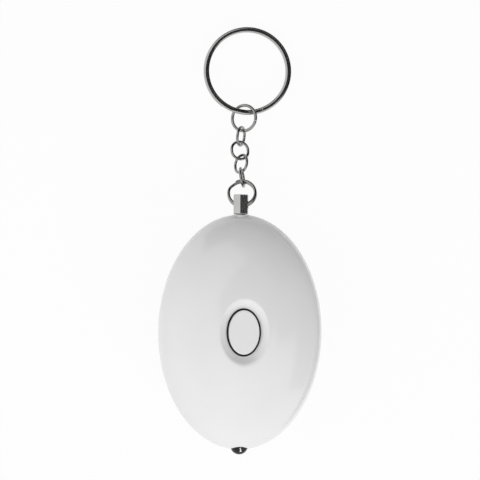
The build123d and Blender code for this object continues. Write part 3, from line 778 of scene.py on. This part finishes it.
def end_bores():
    return added(*[along_y(rod(radius, 0, 0, 0, high - low, 64), low, parting)
                   for radius, low, high in (lamp_bore, bush_bore)])


def cross_ribs(low, high):
    return [block((-rib_half, near, low), (rib_half, far, high)) for near, far in (lamp_rib, bush_rib)]


def solid_front(inset):
    last_turn = turn_at_height(front_rise, inset, 0)
    return lofted([body_oval(inset, 0.0), *reversed(front_stations(inset, 0, last_turn, 24))], sides=128)


def solid_back(inset):
    last_turn = turn_at_height(back_drop, inset, 0)
    return lofted([*back_stations(inset, last_turn, 24), body_oval(inset, parting + 8)], sides=128)


def make_front_shell():
    """The screwed posts hold the board, and the screwed bosses meet the rear shell's towers."""
    post_radius, post_low, post_hole, post_hole_top = 2.1, 14.0, 0.95, 16.7
    boss_radius, boss_hole, boss_hole_low, boss_hole_top = 2.6, 1.15, 5.0, 13.1
    top = parting + front_rise
    bosses = [rod(post_radius, x, y, post_low, top) for x, y in post_places]
    bosses += [rod(boss_radius, x, y, front_boss_low, top) for x, y in tower_places]
    inner = carved(added(*bosses, *cross_ribs(parting, top)), ("INTERSECT", solid_front(boss_bite)))
    holes = [rod(post_hole, x, y, post_low - 1, post_hole_top, 24) for x, y in post_places]
    holes += [rod(boss_hole, x, y, boss_hole_low, boss_hole_top, 24) for x, y in tower_places]
    shell = carved(front_skin(), ("UNION", inner), ("DIFFERENCE", added(*holes)),
                   ("DIFFERENCE", end_bores()))
    return finished("front_casing", shell, "casing", "white_casing", ["front_shell"])


make_front_shell()

# %% [markdown]
# ## Rear shell
#
# The back half rests on an oval flat. It is lofted the same way and then cut: five slots let the
# siren out, four deep holes take the case screws, and a rounded recess takes the battery door. Inside
# are the walls of the cell bay, a ring seat for the siren's disc, and towers for the screws.

# %% Sizes of the back
siren_y = 8.0
seat_radius = 9.8
seat_hole = 8.3
seat_top = 3.0
slot_width = 1.2
slot_pitch = 2.8
slot_field = 7.4
cell_y = -13.0
bay_half = (9.6, 6.1)
bay_wall = 1.0
bay_top = 9.2
door_low, door_high = (-10.35, -24.0), (10.35, -5.65)
door_corner = 2.5
door_gap = 0.15
door_recess = 0.1
door_thickness = 0.9
door_seat = 1.1
door_screw_y = -21.9
door_screw_seat = 1.137
tower_seat = 4.0


def back_surface_z(x, y):
    """Height of the outside of the back over a point of the floor."""
    reach = math.hypot(x * body_length / body_width, y)
    share = max(0, (reach - back_land) / (body_length / 2 - back_land))
    return max(0, parting - back_drop * math.sqrt(max(0, 1 - share ** 2)))


def back_skin():
    last_turn = turn_at_height(back_drop, 0, seam_width / 2)
    outside = back_stations(0, last_turn, outer_steps)
    inside = back_stations(wall, turn_at_height(back_drop, wall, 0), inner_steps)
    seam_z = parting - seam_width / 2
    corner = body_oval(0, seam_z)
    notch = body_oval(seam_depth, seam_z)
    lip_top = parting + lip_height
    lip_outer, lip_inner = body_oval(lip_inset, lip_top), body_oval(wall, lip_top)
    return lofted([
        *outside[:-1],
        *rounded(outside[-2], corner, notch, small_round),
        notch,
        body_oval(seam_depth, parting),
        body_oval(lip_inset, parting),
        *rounded(body_oval(lip_inset, parting), lip_outer, lip_inner, small_round, 3),
        lip_inner,
        *reversed(inside),
    ])


def rounded_plate(low, high, corner, thickness):
    """A flat plate in plan, with rounded corners, its lower face at z = 0."""
    bm = bmesh.new()
    bmesh.ops.create_grid(bm, x_segments=1, y_segments=1, size=0.5)
    size = (high[0] - low[0], high[1] - low[1], 1)
    bmesh.ops.scale(bm, vec=size, verts=bm.verts)
    middle = ((low[0] + high[0]) / 2, (low[1] + high[1]) / 2, 0)
    bmesh.ops.translate(bm, vec=middle, verts=bm.verts)
    bmesh.ops.bevel(bm, geom=bm.verts[:], offset=corner, offset_type="OFFSET", affect="VERTICES",
                    segments=8, profile=0.5, material=-1)
    grown = bmesh.ops.extrude_face_region(bm, geom=bm.faces[:])["geom"]
    raised = [item for item in grown if isinstance(item, bmesh.types.BMVert)]
    bmesh.ops.translate(bm, vec=(0, 0, thickness), verts=raised)
    bmesh.ops.recalc_face_normals(bm, faces=bm.faces)
    return bm


def outgrown(low, high, gap):
    return (low[0] - gap, low[1] - gap), (high[0] + gap, high[1] + gap)


def make_rear_shell():
    tower_radius, tower_top, head_room, shank_room = 3.4, 6.0, 2.1, 1.2
    door_boss, door_boss_top, door_hole, door_hole_top = 2.2, 6.6, 0.95, 5.64
    bay_low = (-bay_half[0] - bay_wall, cell_y - bay_half[1] - bay_wall, 0)
    bay_high = (bay_half[0] + bay_wall, cell_y + bay_half[1] + bay_wall, bay_top)
    bosses = [block(bay_low, bay_high), rod(seat_radius, 0, siren_y, 0, seat_top, 96)]
    bosses += [rod(tower_radius, x, y, 0, tower_top) for x, y in tower_places]
    bosses += cross_ribs(0, parting)
    inner = carved(added(*bosses), ("UNION", rod(door_boss, 0, door_screw_y, 0, door_boss_top)),
                   ("INTERSECT", solid_back(boss_bite)))
    slots = []
    for column in range(-2, 3):
        x = column * slot_pitch
        length = 2 * math.sqrt(slot_field ** 2 - x ** 2)
        slots.append(slot_shape(x, siren_y, length, slot_width, low=-1, high=2.8))
    for x, y in tower_places:
        slots.append(placed(screw_room(head_room, tower_seat, shank_room, tower_top + 1), x, y, 0))
    low, high = outgrown(door_low, door_high, door_gap)
    door_room = placed(rounded_plate(low, high, door_corner + door_gap, parting + 1), 0, 0, -1)
    door_room = carved(door_room, ("DIFFERENCE", solid_back(door_seat)))
    bay = block((-bay_half[0], cell_y - bay_half[1], 0.1),
                (bay_half[0], cell_y + bay_half[1], bay_top + 1))
    inside_cuts = added(bay, rod(seat_hole, 0, siren_y, wall, seat_top + 1, 96),
                        rod(door_hole, 0, door_screw_y, 0, door_hole_top, 24))
    shell = carved(back_skin(), ("UNION", inner), ("DIFFERENCE", added(*slots)),
                   ("DIFFERENCE", door_room), ("DIFFERENCE", inside_cuts), ("DIFFERENCE", end_bores()))
    return finished("rear_casing", shell, "casing", "white_rear_casing", ["rear_shell"])


make_rear_shell()

# %% [markdown]
# ## Battery door
#
# The door is a plate with rounded corners that follows the curve of the back. A flat plate can't bend,
# because it has no points inside its faces, so it is first cut into strips both ways with
# `bisect_plane`. Then every point is lowered or raised onto the surface of the egg.

# %% The door, bent to the back


def make_battery_door():
    bm = rounded_plate(door_low, door_high, door_corner, door_thickness)
    rims = [edge for edge in bm.edges if max(v.co.z for v in edge.verts) < door_thickness / 2]
    eased(bm, rims, reach=0.12, steps=3)
    strips = 0.75
    for axis in (0, 1):
        count = int((door_high[axis] - door_low[axis]) / strips)
        for place in spread(door_low[axis], door_high[axis], count)[1:-1]:
            normal = Vector((axis == 0, axis == 1, 0))
            bmesh.ops.bisect_plane(bm, geom=[*bm.verts, *bm.edges, *bm.faces], plane_co=normal * place,
                                   plane_no=normal, dist=1e-5)
    bmesh.ops.triangulate(bm, faces=[face for face in bm.faces if len(face.verts) > 4])
    for vert in bm.verts:
        vert.co.z += door_recess + back_surface_z(vert.co.x, vert.co.y)
    hole = screw_room(head_room=1.9, seat=door_screw_seat, shank_room=1.0, top=6)
    door = carved(bm, ("DIFFERENCE", placed(hole, 0, door_screw_y, 0)))
    return finished("battery_cover", door, "battery_cover", "white_door", ["battery_door"], 40)


make_battery_door()

# %% [markdown]
# ## Screws
#
# The screws are pan heads with a cross slot. Head and shank are one turned profile, with a rounded
# crown and a thread that is cut as a stack of shallow ridges, and the slot is two crossed blocks taken
# away from the head.

# %% Turned screws with a cross slot


def screw_shape(shank, length, head, head_height):
    """A screw that points up, its head below z = 0."""
    crown = [(head * math.sin(turn), -head_height * (0.45 + 0.55 * math.cos(turn)))
             for turn in spread(0, math.pi / 2, 8)]
    profile = [*crown, (head, -0.08), (head - 0.08, 0), (shank * 0.8, 0), (shank * 0.8, 0.3)]
    rise, ridge, core = 0.3, 0.7, shank * 0.8
    while rise + ridge < length - shank:
        profile += [(shank, rise + ridge * 0.35), (shank, rise + ridge * 0.45), (core, rise + ridge)]
        rise += ridge
    profile += [(core, length - shank), (0, length)]
    bm = turned(profile, 40)
    slot_half, slot_reach, slot_top = 0.22, head * 0.7, -head_height * 0.5
    low = -head_height - 1
    across = block((-slot_reach, -slot_half, low), (slot_reach, slot_half, slot_top))
    along = block((-slot_half, -slot_reach, low), (slot_half, slot_reach, slot_top))
    return carved(bm, ("DIFFERENCE", across), ("DIFFERENCE", along))


board_face_z = 13.0
case_screws = [placed(screw_shape(shank=1.1, length=9.0, head=2.0, head_height=1.3), x, y, tower_seat)
               for x, y in tower_places]
finished("casing_screws", added(*case_screws), "casing", "screw_metal", ["case_screws"])
door_screw = placed(screw_shape(shank=0.9, length=4.4, head=1.8, head_height=1.0), 0, door_screw_y,
                    door_screw_seat)
finished("cover_screw", door_screw, "battery_cover", "screw_metal", ["door_screw"])
board_screws = [placed(screw_shape(shank=0.9, length=3.6, head=1.8, head_height=1.0), x, y, board_face_z)
                for x, y in post_places]
finished("circuit_screws", added(*board_screws), "casing", "screw_metal", ["board_screws"])

# %% [markdown]
# ## Push button
#
# The key is an oval with a softly rounded edge. Its face has a crown of a few hundredths of a
# millimetre, which a flat face never has in reality: moulded plastic always draws in or swells, and
# that is what makes light slide over it. A flange under the well's edge keeps it in.

# %% The button
button_gap = 0.5
button_proud = 1.0
button_top = dish_floor_z + button_proud
button_round = 0.45
button_crown = 0.05
flange_top = well_floor_z - 0.1
flange_low = flange_top - 1.0


def make_button():
    size = Vector((well.x - button_gap, well.y - button_gap, 0))
    flange = Vector((well.x + 0.3, well.y + 0.3, 0))
    rim = oval(size, button_top - button_crown)
    face = [Vector((size.x * share, size.y * share, button_top - button_crown * share ** 2))
            for share in spread(0.9, 0.05, 10)]
    stations = [oval(flange, flange_low), oval(flange, flange_top), oval(size, flange_top),
                *rounded(oval(size, flange_top), rim, face[0], button_round, 8), *face]
    return finished("button_cap", lofted(stations, sides=160), "button", "white_button", ["push_button"])


make_button()

# %% [markdown]
# ## Lamp
#
# A 5 mm lamp stands 1.4 mm out of the lower end. It is a turned part: a short flange, a straight
# barrel and a half round tip, laid along the body with its tip outwards.

# %% The lamp's lens
lamp_radius = 2.5
lamp_tip_y = -34.6
lamp_length = 8.6


def make_lamp():
    flange = lamp_radius + 0.4
    barrel_top = lamp_length - lamp_radius
    tip = [(lamp_radius * math.cos(turn), barrel_top + lamp_radius * math.sin(turn))
           for turn in spread(0, math.pi / 2, 16)]
    bm = turned([(0, 0), (flange - 0.1, 0), (flange, 0.1), (flange, 0.9), (flange - 0.1, 1.0),
                 (lamp_radius + 0.05, 1.0), (lamp_radius, 1.1), *tip], 72)
    along_y(rotated(bm, 180, "X"), lamp_tip_y + lamp_length, parting)
    return finished("lamp_lens", bm, "casing", "dark_lamp", ["led_lamp"])


make_lamp()

# %% [markdown]
# ## Pull pin and its bush
#
# The head is six-sided bar with a chamfer at both ends and a cross hole for the small ring. The hole's
# mouths are eased, as a burr there would cut the ring. The pin can spin in its bush, and in the photo
# its head stands a little turned. The round shaft behind it ends in a ball that slips between the
# contacts. Only turns below 11 degrees are shaded smooth, so that the head's flats stay flat.

# %% The pin
head_flats = 4.0
head_start = 33.2
head_length = 5.7
head_chamfer = 0.25
pin_radius = 1.25
pin_tip_y = 20.5
hole_y = 36.0
hole_radius = 1.15
head_turn_deg = 12.5


def make_pin():
    corner = head_flats / math.sqrt(3)
    end = corner * (1 - 2 * head_chamfer / head_flats)
    profile = [(end, 0), (corner, head_chamfer), (corner, head_length - head_chamfer),
               (end, head_length)]
    head = lofted([Vector((radius, radius, height)) for radius, height in profile], sides=6)
    eased(head, head.edges[:], reach=0.06)
    along_y(head, head_start, parting)
    ball = [(pin_radius * math.sin(turn), pin_radius - pin_radius * math.cos(turn))
            for turn in spread(0, math.pi / 2, 10)]
    shaft_end = head_start + 1 - pin_tip_y
    shaft = along_y(turned([*ball, (pin_radius, shaft_end), (0, shaft_end)]), pin_tip_y, parting)
    reach, ease = head_flats / 2, 0.05
    mouth = hole_radius + ease
    hole = turned([(0, -4), (mouth, -4), (mouth, -reach), (hole_radius, ease - reach),
                   (hole_radius, reach - ease), (mouth, reach), (mouth, 4), (0, 4)], 64)
    placed(rotated(hole, 90 - head_turn_deg, "Y"), 0, hole_y, parting)
    rotated(head, -head_turn_deg, "Y", (0, 0, parting))
    pin = carved(head, ("UNION", shaft), ("DIFFERENCE", hole))
    return finished("ring_pin", pin, "pin", "pin_metal", ["pull_pin"], 11)


make_pin()

# %% The bush that the pin slides in


def make_bush():
    inner, outer, flange = pin_radius + 0.05, 2.4, 3.0
    start, length, foot, head = 25.0, 8.1, 2.7, 3.7
    ease = 0.15
    bm = turned([(inner, ease), (inner + ease, 0), (outer - ease, 0), (outer, ease), (outer, foot),
                 (flange, foot), (flange, head), (outer, head), (outer, length - ease),
                 (outer - ease, length), (inner + ease, length), (inner, length - ease),
                 (inner, ease)], 64)
    along_y(bm, start, parting)
    return finished("pin_sleeve", bm, "casing", "bush_plastic", ["pin_bush"])


make_bush()

# %% [markdown]
# ## How the rings hang
#
# Each ring hooks on the far end of the one before. Three angles say how it lies: its yaw from the
# body's length, its dip below level and its roll about its own length. They were found from the photo,
# link by link: an edge-on link has a roll near 90 degrees, a link seen flat has one near zero.

# %% Where each ring lies
parting_hook = Vector((0, hole_y, parting))
small_diameter, small_wire = 7.55, 0.425
link_length, link_width, link_wire = 5.2, 4.8, 0.4
jump_diameter, jump_wire = 7.3, 0.45
key_diameter, key_wire = 23.5, (1.5, 0.9)


def hang(hook, pose_deg, length, overlap, hook_deg):
    """The place of a ring as a matrix, and the point on its far side where the next one hooks on."""
    yaw, dip, roll = (math.radians(angle) for angle in pose_deg)
    along = Vector((math.sin(yaw) * math.cos(dip), math.cos(yaw) * math.cos(dip), -math.sin(dip)))
    level = Vector((math.cos(yaw), -math.sin(yaw), 0))
    across = level * math.cos(roll) + level.cross(along) * math.sin(roll)
    centre = hook + along * (length / 2 - overlap)
    turn = math.radians(hook_deg)
    far = centre + (across * math.sin(turn) + along * math.cos(turn)) * (length / 2)
    return standing(centre, across, along, across.cross(along)), far


def hang_chain():
    """The places of all seven rings, from the pin outwards."""
    poses = [(8, 23, 14), (-3, 24, 107), (1, 25, 54), (-1, 19, -10), (8, 5, -59),
             (12, -1, 33), (4, 3, -1)]
    lengths = [small_diameter] + [link_length] * 4 + [jump_diameter, key_diameter]
    wires = [small_wire] + [link_wire] * 4 + [jump_wire, key_wire[0] / 2]
    plays = [None, 0.525, 0.17, 0.17, 0.17, 0.17, 0.75]
    hook_degs = [-3, 1, -6, 4, -2, -9, 0]
    places = []
    hook, overlap = parting_hook, 0.35
    for number, (pose, length, hook_deg) in enumerate(zip(poses, lengths, hook_degs)):
        if number:
            overlap = wires[number - 1] + wires[number] + plays[number]
        place, hook = hang(hook, pose, length, overlap, hook_deg)
        places.append(place)
    return places


ring_places = hang_chain()
print("key ring centre in mm:", [round(v, 2) for v in ring_places[-1].translation])

# %% [markdown]
# ## Sweeping wire
#
# A ring is a wire section carried along a path. Curves can do that, but pulling the section from frame
# to frame with `extrude_edge_only` leaves a plain mesh, open or closed, whose points can carry the
# attribute that the drawn lines read.

# %% A section pulled along frames


def round_section(radius):
    bm = bmesh.new()
    bmesh.ops.create_circle(bm, segments=16, radius=radius)
    return bm


def flat_section(width, height):
    """A flat wire with full, soft corners: the lower its fullness, the squarer it is."""
    fullness = 0.7
    bm = bmesh.new()
    bmesh.ops.create_circle(bm, segments=32, radius=1)
    for vert in bm.verts:
        x, y = vert.co.x, vert.co.y
        vert.co.x = math.copysign(abs(x) ** fullness, x) * width / 2
        vert.co.y = math.copysign(abs(y) ** fullness, y) * height / 2
    return bm


def wire_frame(point, outward, forward):
    """Where a section stands on its path: its own x outwards and its normal along the wire."""
    forward = forward.normalized()
    upward = forward.cross(outward).normalized()
    return standing(point, upward.cross(forward), upward, forward)


def swept(bm, frames):
    """Pull the section through its frames. The ends are closed and their edges eased."""
    drawn = bm.verts.layers.float_vector.new("drawn")
    for vert in bm.verts:
        vert[drawn] = vert.co
    verts, loop = list(bm.verts), list(bm.edges)
    ends = [loop]
    bmesh.ops.transform(bm, matrix=frames[0], verts=verts)
    run = 0.0
    for before, here in zip(frames, frames[1:]):
        verts, loop = pulled(bm, loop)
        bmesh.ops.transform(bm, matrix=here @ before.inverted(), verts=verts)
        run += (here.translation - before.translation).length
        for vert in verts:
            vert[drawn] = Vector((vert[drawn].x, vert[drawn].y, run))
    ends.append(loop)
    for end in ends:
        bmesh.ops.edgeloop_fill(bm, edges=end)
    eased(bm, [edge for end in ends for edge in end], reach=0.03)
    bmesh.ops.recalc_face_normals(bm, faces=bm.faces)
    return bm


# %% [markdown]
# ## Split rings
#
# A split ring is two turns of wire lying on each other, joined by a short step from one turn to the
# other. The path is one long arc of nearly two turns, and only its height changes, from half a pitch
# on one side of the middle to half a pitch on the other. The step is a smooth S, so the wire never
# kinks. The key ring is wound the other way round, so its pitch is negative: its free end shows at the
# lower right, and the step hides at the jump ring.

# %% The small split ring and the key ring
step_deg = 40.0
tail_deg = 8.0
small_pitch, small_step_at_deg, small_steps = 0.9, 150, 200
key_pitch, key_step_at_deg, key_steps = -0.96, 267, 420


def split_ring_frames(diameter, pitch, step_at_deg, steps):
    """Frames along two turns in the ring's own plane."""
    turn_deg = 360 - step_deg - tail_deg
    leave = math.radians(step_at_deg - step_deg / 2)
    arrive = math.radians(step_at_deg + step_deg / 2)
    path = []
    for angle in spread(leave - math.radians(turn_deg), arrive + math.radians(turn_deg), steps):
        share = min(1, max(0, (angle - leave) / (arrive - leave)))
        height = pitch * (share * share * (3 - 2 * share) - 0.5)
        path.append(Vector((math.cos(angle) * diameter / 2, math.sin(angle) * diameter / 2, height)))
    frames = []
    for number, point in enumerate(path):
        before, after = path[max(number - 1, 0)], path[min(number + 1, steps)]
        outward = Vector((point.x, point.y, 0)).normalized()
        frames.append(wire_frame(point, outward, after - before))
    return frames


def make_ring(name, section, frames, place, body, slot_name, node):
    bm = swept(section, frames)
    bmesh.ops.transform(bm, matrix=place, verts=bm.verts)
    return finished(name, bm, body, slot_name, [node], 45)


make_ring("pin_ring", round_section(small_wire),
          split_ring_frames(small_diameter, small_pitch, small_step_at_deg, small_steps),
          ring_places[0], "small_ring", "ring_metal", "small_split_ring")
make_ring("keys_ring", flat_section(*key_wire),
          split_ring_frames(key_diameter, key_pitch, key_step_at_deg, key_steps),
          ring_places[6], "key_ring", "key_ring_metal", "key_ring")

# %% [markdown]
# ## Links and the jump ring
#
# The links are cut wire bent to an oval and pressed shut, so each has a fine slit where its ends
# meet. The jump ring is the same thing bent round. Both are open sweeps that stop just short of where
# they began.

# %% Oval links
link_slit = 0.08


def arc_frames(centre, radius, first, last, steps):
    """Frames along an arc in the ring's own plane."""
    frames = []
    for turn in spread(first, last, steps):
        outward = Vector((math.cos(turn), math.sin(turn), 0))
        ahead = Vector((-math.sin(turn), math.cos(turn), 0))
        frames.append(wire_frame(centre + outward * radius, outward, ahead))
    return frames


def link_frames():
    """Frames round an oval, from one side of its slit to the other."""
    steps = 24
    radius = link_width / 2
    straight = Vector((0, (link_length - link_width) / 2, 0))
    right, forward = Vector((1, 0, 0)), Vector((0, 1, 0))
    start, end = [wire_frame(Vector((radius, side * link_slit / 2, 0)), right, forward)
                  for side in (1, -1)]
    return [start, *arc_frames(straight, radius, 0, math.pi, steps),
            *arc_frames(-straight, radius, math.pi, 2 * math.pi, steps), end]


for number in range(1, 5):
    make_ring(f"oval_link_{number}", round_section(link_wire), link_frames(), ring_places[number],
              f"link_{number}", "ring_metal", f"chain_link_{number}")

# %% The jump ring
half_slit = link_slit / jump_diameter
jump_frames = arc_frames(Vector(), jump_diameter / 2, half_slit, 2 * math.pi - half_slit, 96)
make_ring("chain_ring", round_section(jump_wire), jump_frames, ring_places[5], "jump_ring",
          "ring_metal", "jump_ring")

# %% [markdown]
# ## Button cells
#
# Behind the door three button cells lie in a row. A cell is a pressed can with a rounded shoulder,
# and a smaller cap that is held in it by a rolled rim over a thin seal. It is a turned part again, and
# the same profile serves all three.

# %% Three cells in the bay
cell_radius = 5.8
cell_thickness = 5.4
cell_count = 3


def cell_shape():
    cap, rim = 4.6, 5.1
    return turned([
        (0, 0), (cell_radius - 0.5, 0), (cell_radius - 0.15, 0.12), (cell_radius, 0.5),
        (cell_radius, cell_thickness - 0.75), (cell_radius - 0.12, cell_thickness - 0.45),
        (rim, cell_thickness - 0.3), (rim - 0.12, cell_thickness - 0.45),
        (cap + 0.15, cell_thickness - 0.5), (cap, cell_thickness - 0.35),
        (cap - 0.25, cell_thickness - 0.04), (cap - 0.5, cell_thickness), (0, cell_thickness)], 96)


def make_cells():
    low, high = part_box("button_cells")
    middle = (low + high) / 2 / MM
    starts = [low.x / MM + number * cell_thickness for number in range(cell_count)]
    cells = [placed(rotated(cell_shape(), 90, "Y"), start, middle.y, middle.z) for start in starts]
    return finished("cell_stack", added(*cells), "casing", "cell_steel", ["button_cells"], 28)


make_cells()

# %% [markdown]
# ## Dressing what stays
#
# The board, its parts, the contacts and the wires keep the frame's own shapes, which are already
# true to life. They only swap their plain colour for a finish, found by the name of its slot.

# %% Finishes on the inner pieces
dressed = 0
for node in frame["nodes"].values():
    if node.hide_render:
        continue
    for holder in node.material_slots:
        holder.material = finishes[holder.material.name.split(".")[0]]
        dressed += 1
print(dressed, "inner pieces dressed")

# %% [markdown]
# ## Camera
#
# The photo looks almost straight down on the alarm. The dish and the button sit a little right of the
# egg's middle, and more of the left flank shows, so the camera leans about seven degrees to the left. A
# long lens a good way off keeps the sides parallel, as they are in the photo.

# %% The camera
picture_px = 480
px_per_mm = 3.54
egg_centre_px = (240, 332)
lean = math.radians(6.9)
roll = math.radians(0.45)
lens_mm = 500
sensor_mm = 36


def make_camera():
    data = bpy.data.cameras.new("camera")
    data.lens = lens_mm
    data.sensor_width = sensor_mm
    camera = linked("camera", data)
    bpy.context.scene.camera = camera
    back = Vector((-math.sin(lean), 0, math.cos(lean)))
    level = Vector((math.cos(lean), 0, math.sin(lean)))
    right = level * math.cos(roll) + Vector((0, 1, 0)) * math.sin(roll)
    up = back.cross(right)
    across = (picture_px / 2 - egg_centre_px[0]) / px_per_mm
    along = (egg_centre_px[1] - picture_px / 2) / px_per_mm
    middle = Vector((0, 0, parting)) + right * across + up * along
    distance = picture_px / px_per_mm * lens_mm / sensor_mm
    camera.matrix_world = standing((middle + back * distance) * MM, right, up, back)
    print("camera stands", round(distance), "mm away")


make_camera()

# %% [markdown]
# ## Light, floor and surroundings
#
# The photo is a cut-out on white, lit softly from below and from the left, with dark surroundings
# above and to the right: the upper end of the egg is greyer, and every wire has a dark side. A product
# photographer does that with big soft lamps and a few black cards just outside the picture. The
# cards are hidden from the camera and show as reflections. Only the upper one also keeps light off the
# egg. The soft lamps are hidden from the camera and from reflections, so they give light without a
# patch of glare. A narrow strip lamp does the opposite: it reaches nothing but the dark lens and draws
# the upright highlight on it.
#
# The floor and the world look white to the camera and in reflections through Light Path, at a
# strength of 1, while the light that they give stays modest. A share of the floor's own shading is
# kept, and with it the object's soft shadow.

# %% What the camera, mirrors and glass see


def background_rays(tree):
    """1 where a ray comes from the camera, a reflection or through glass, else 0."""
    path = add(tree, "ShaderNodeLightPath")
    seen = maths(tree, "MAXIMUM", path.outputs["Is Camera Ray"], path.outputs["Is Glossy Ray"])
    return maths(tree, "MAXIMUM", seen, path.outputs["Is Transmission Ray"])


def make_world(daylight):
    world = bpy.data.worlds.new("studio")
    world.use_nodes = True
    bpy.context.scene.world = world
    tree = world.node_tree
    fill(tree, tree.nodes["Background"], {
        "Color": (1, 1, 1, 1), "Strength": between(tree, background_rays(tree), daylight, 1.0)})


make_world(daylight=0.64)

# %% The floor
floor_size = 6.0
floor_drop = 0.00005


def sheet(name, width, depth, material, matrix):
    """A flat sheet of the set: it isn't part of the object."""
    bm = bmesh.new()
    bmesh.ops.create_grid(bm, x_segments=1, y_segments=1, size=0.5)
    bmesh.ops.scale(bm, vec=(width, depth, 1), verts=bm.verts)
    bmesh.ops.transform(bm, matrix=matrix, verts=bm.verts)
    thing = as_object(name, bm)
    thing.data.materials.append(material)
    return thing


def floor_material(whiteness):
    material = bpy.data.materials.new("white floor")
    material.use_nodes = True
    tree = material.node_tree
    tree.nodes.clear()
    paper = add(tree, "ShaderNodeBsdfDiffuse", {"Color": (0.85, 0.85, 0.85, 1)})
    white = add(tree, "ShaderNodeEmission", {"Color": (1, 1, 1, 1), "Strength": 1.0})
    seen = maths(tree, "MULTIPLY", background_rays(tree), whiteness)
    mixed = add(tree, "ShaderNodeMixShader", {"Fac": seen, 1: paper.outputs[0], 2: white.outputs[0]})
    add(tree, "ShaderNodeOutputMaterial", {"Surface": mixed.outputs[0]})
    return material


sheet("floor", floor_size, floor_size, floor_material(0.94), Matrix.Translation((0, 0, -floor_drop)))

# %% Lamps and black cards
aim = Vector((0.0, 0.02, 0.01))


def facing(place):
    """A matrix at a place in metres, whose -Z looks at the object."""
    place = Vector(place)
    return Matrix.Translation(place) @ (aim - place).to_track_quat("-Z", "Y").to_matrix().to_4x4()


def lamp(name, place, size, power):
    data = bpy.data.lights.new(name, "AREA")
    data.shape = "RECTANGLE"
    data.size, data.size_y = size
    data.energy = power
    thing = linked(name, data)
    thing.matrix_world = facing(place)
    thing.visible_camera = False
    thing.visible_glossy = False
    return thing


def black_card(name, matrix, width, depth, tone=0.02, shades=False):
    """A dark sheet that shows only in reflections, unless it also shades the object."""
    material = blank(name, {"Base Color": (tone, tone, tone, 1), "Roughness": 0.9})[0]
    card = sheet(name, width, depth, material, matrix)
    card.visible_camera = False
    card.visible_diffuse = shades
    card.visible_shadow = shades
    return card


lamp("low softbox", (0.35, -0.42, 0.28), (0.4, 0.3), 0.94)
lamp("left softbox", (-0.50, -0.05, 0.30), (0.5, 0.5), 0.95)
lamp("top softbox", (0.03, -0.17, 0.57), (0.34, 0.34), 0.42)
strip = lamp("strip lamp", (0.085, -0.35, 0.19), (0.1, 0.5), 6.0)
strip.visible_diffuse = False
strip.visible_glossy = True
shown_in = bpy.data.collections.new("lit by the strip lamp")
shown_in.objects.link(bpy.data.objects["lamp_lens"])
strip.light_linking.receiver_collection = shown_in
black_card("right card", facing((0.42, 0.08, 0.16)), 0.6, 0.34)
black_card("high right card", facing((0.36, 0.12, 0.42)), 0.3, 0.3)
black_card("floor card", Matrix.Translation((0.18, 0.05, 0.0003)), 0.28, 0.22)
black_card("corner card", facing((0.38, 0.40, 0.40)), 0.8, 0.6)
black_card("upper card", facing((0.05, 0.50, 0.20)), 0.9, 0.42, shades=True)
black_card("ceiling card", facing((0.10, 0.10, 0.62)), 0.35, 0.35, tone=0.05)

# %% [markdown]
# ## Last things
#
# The view transform is set to Standard, so that a colour renders as it was written.

# %% Finish
bpy.context.scene.view_settings.view_transform = "Standard"
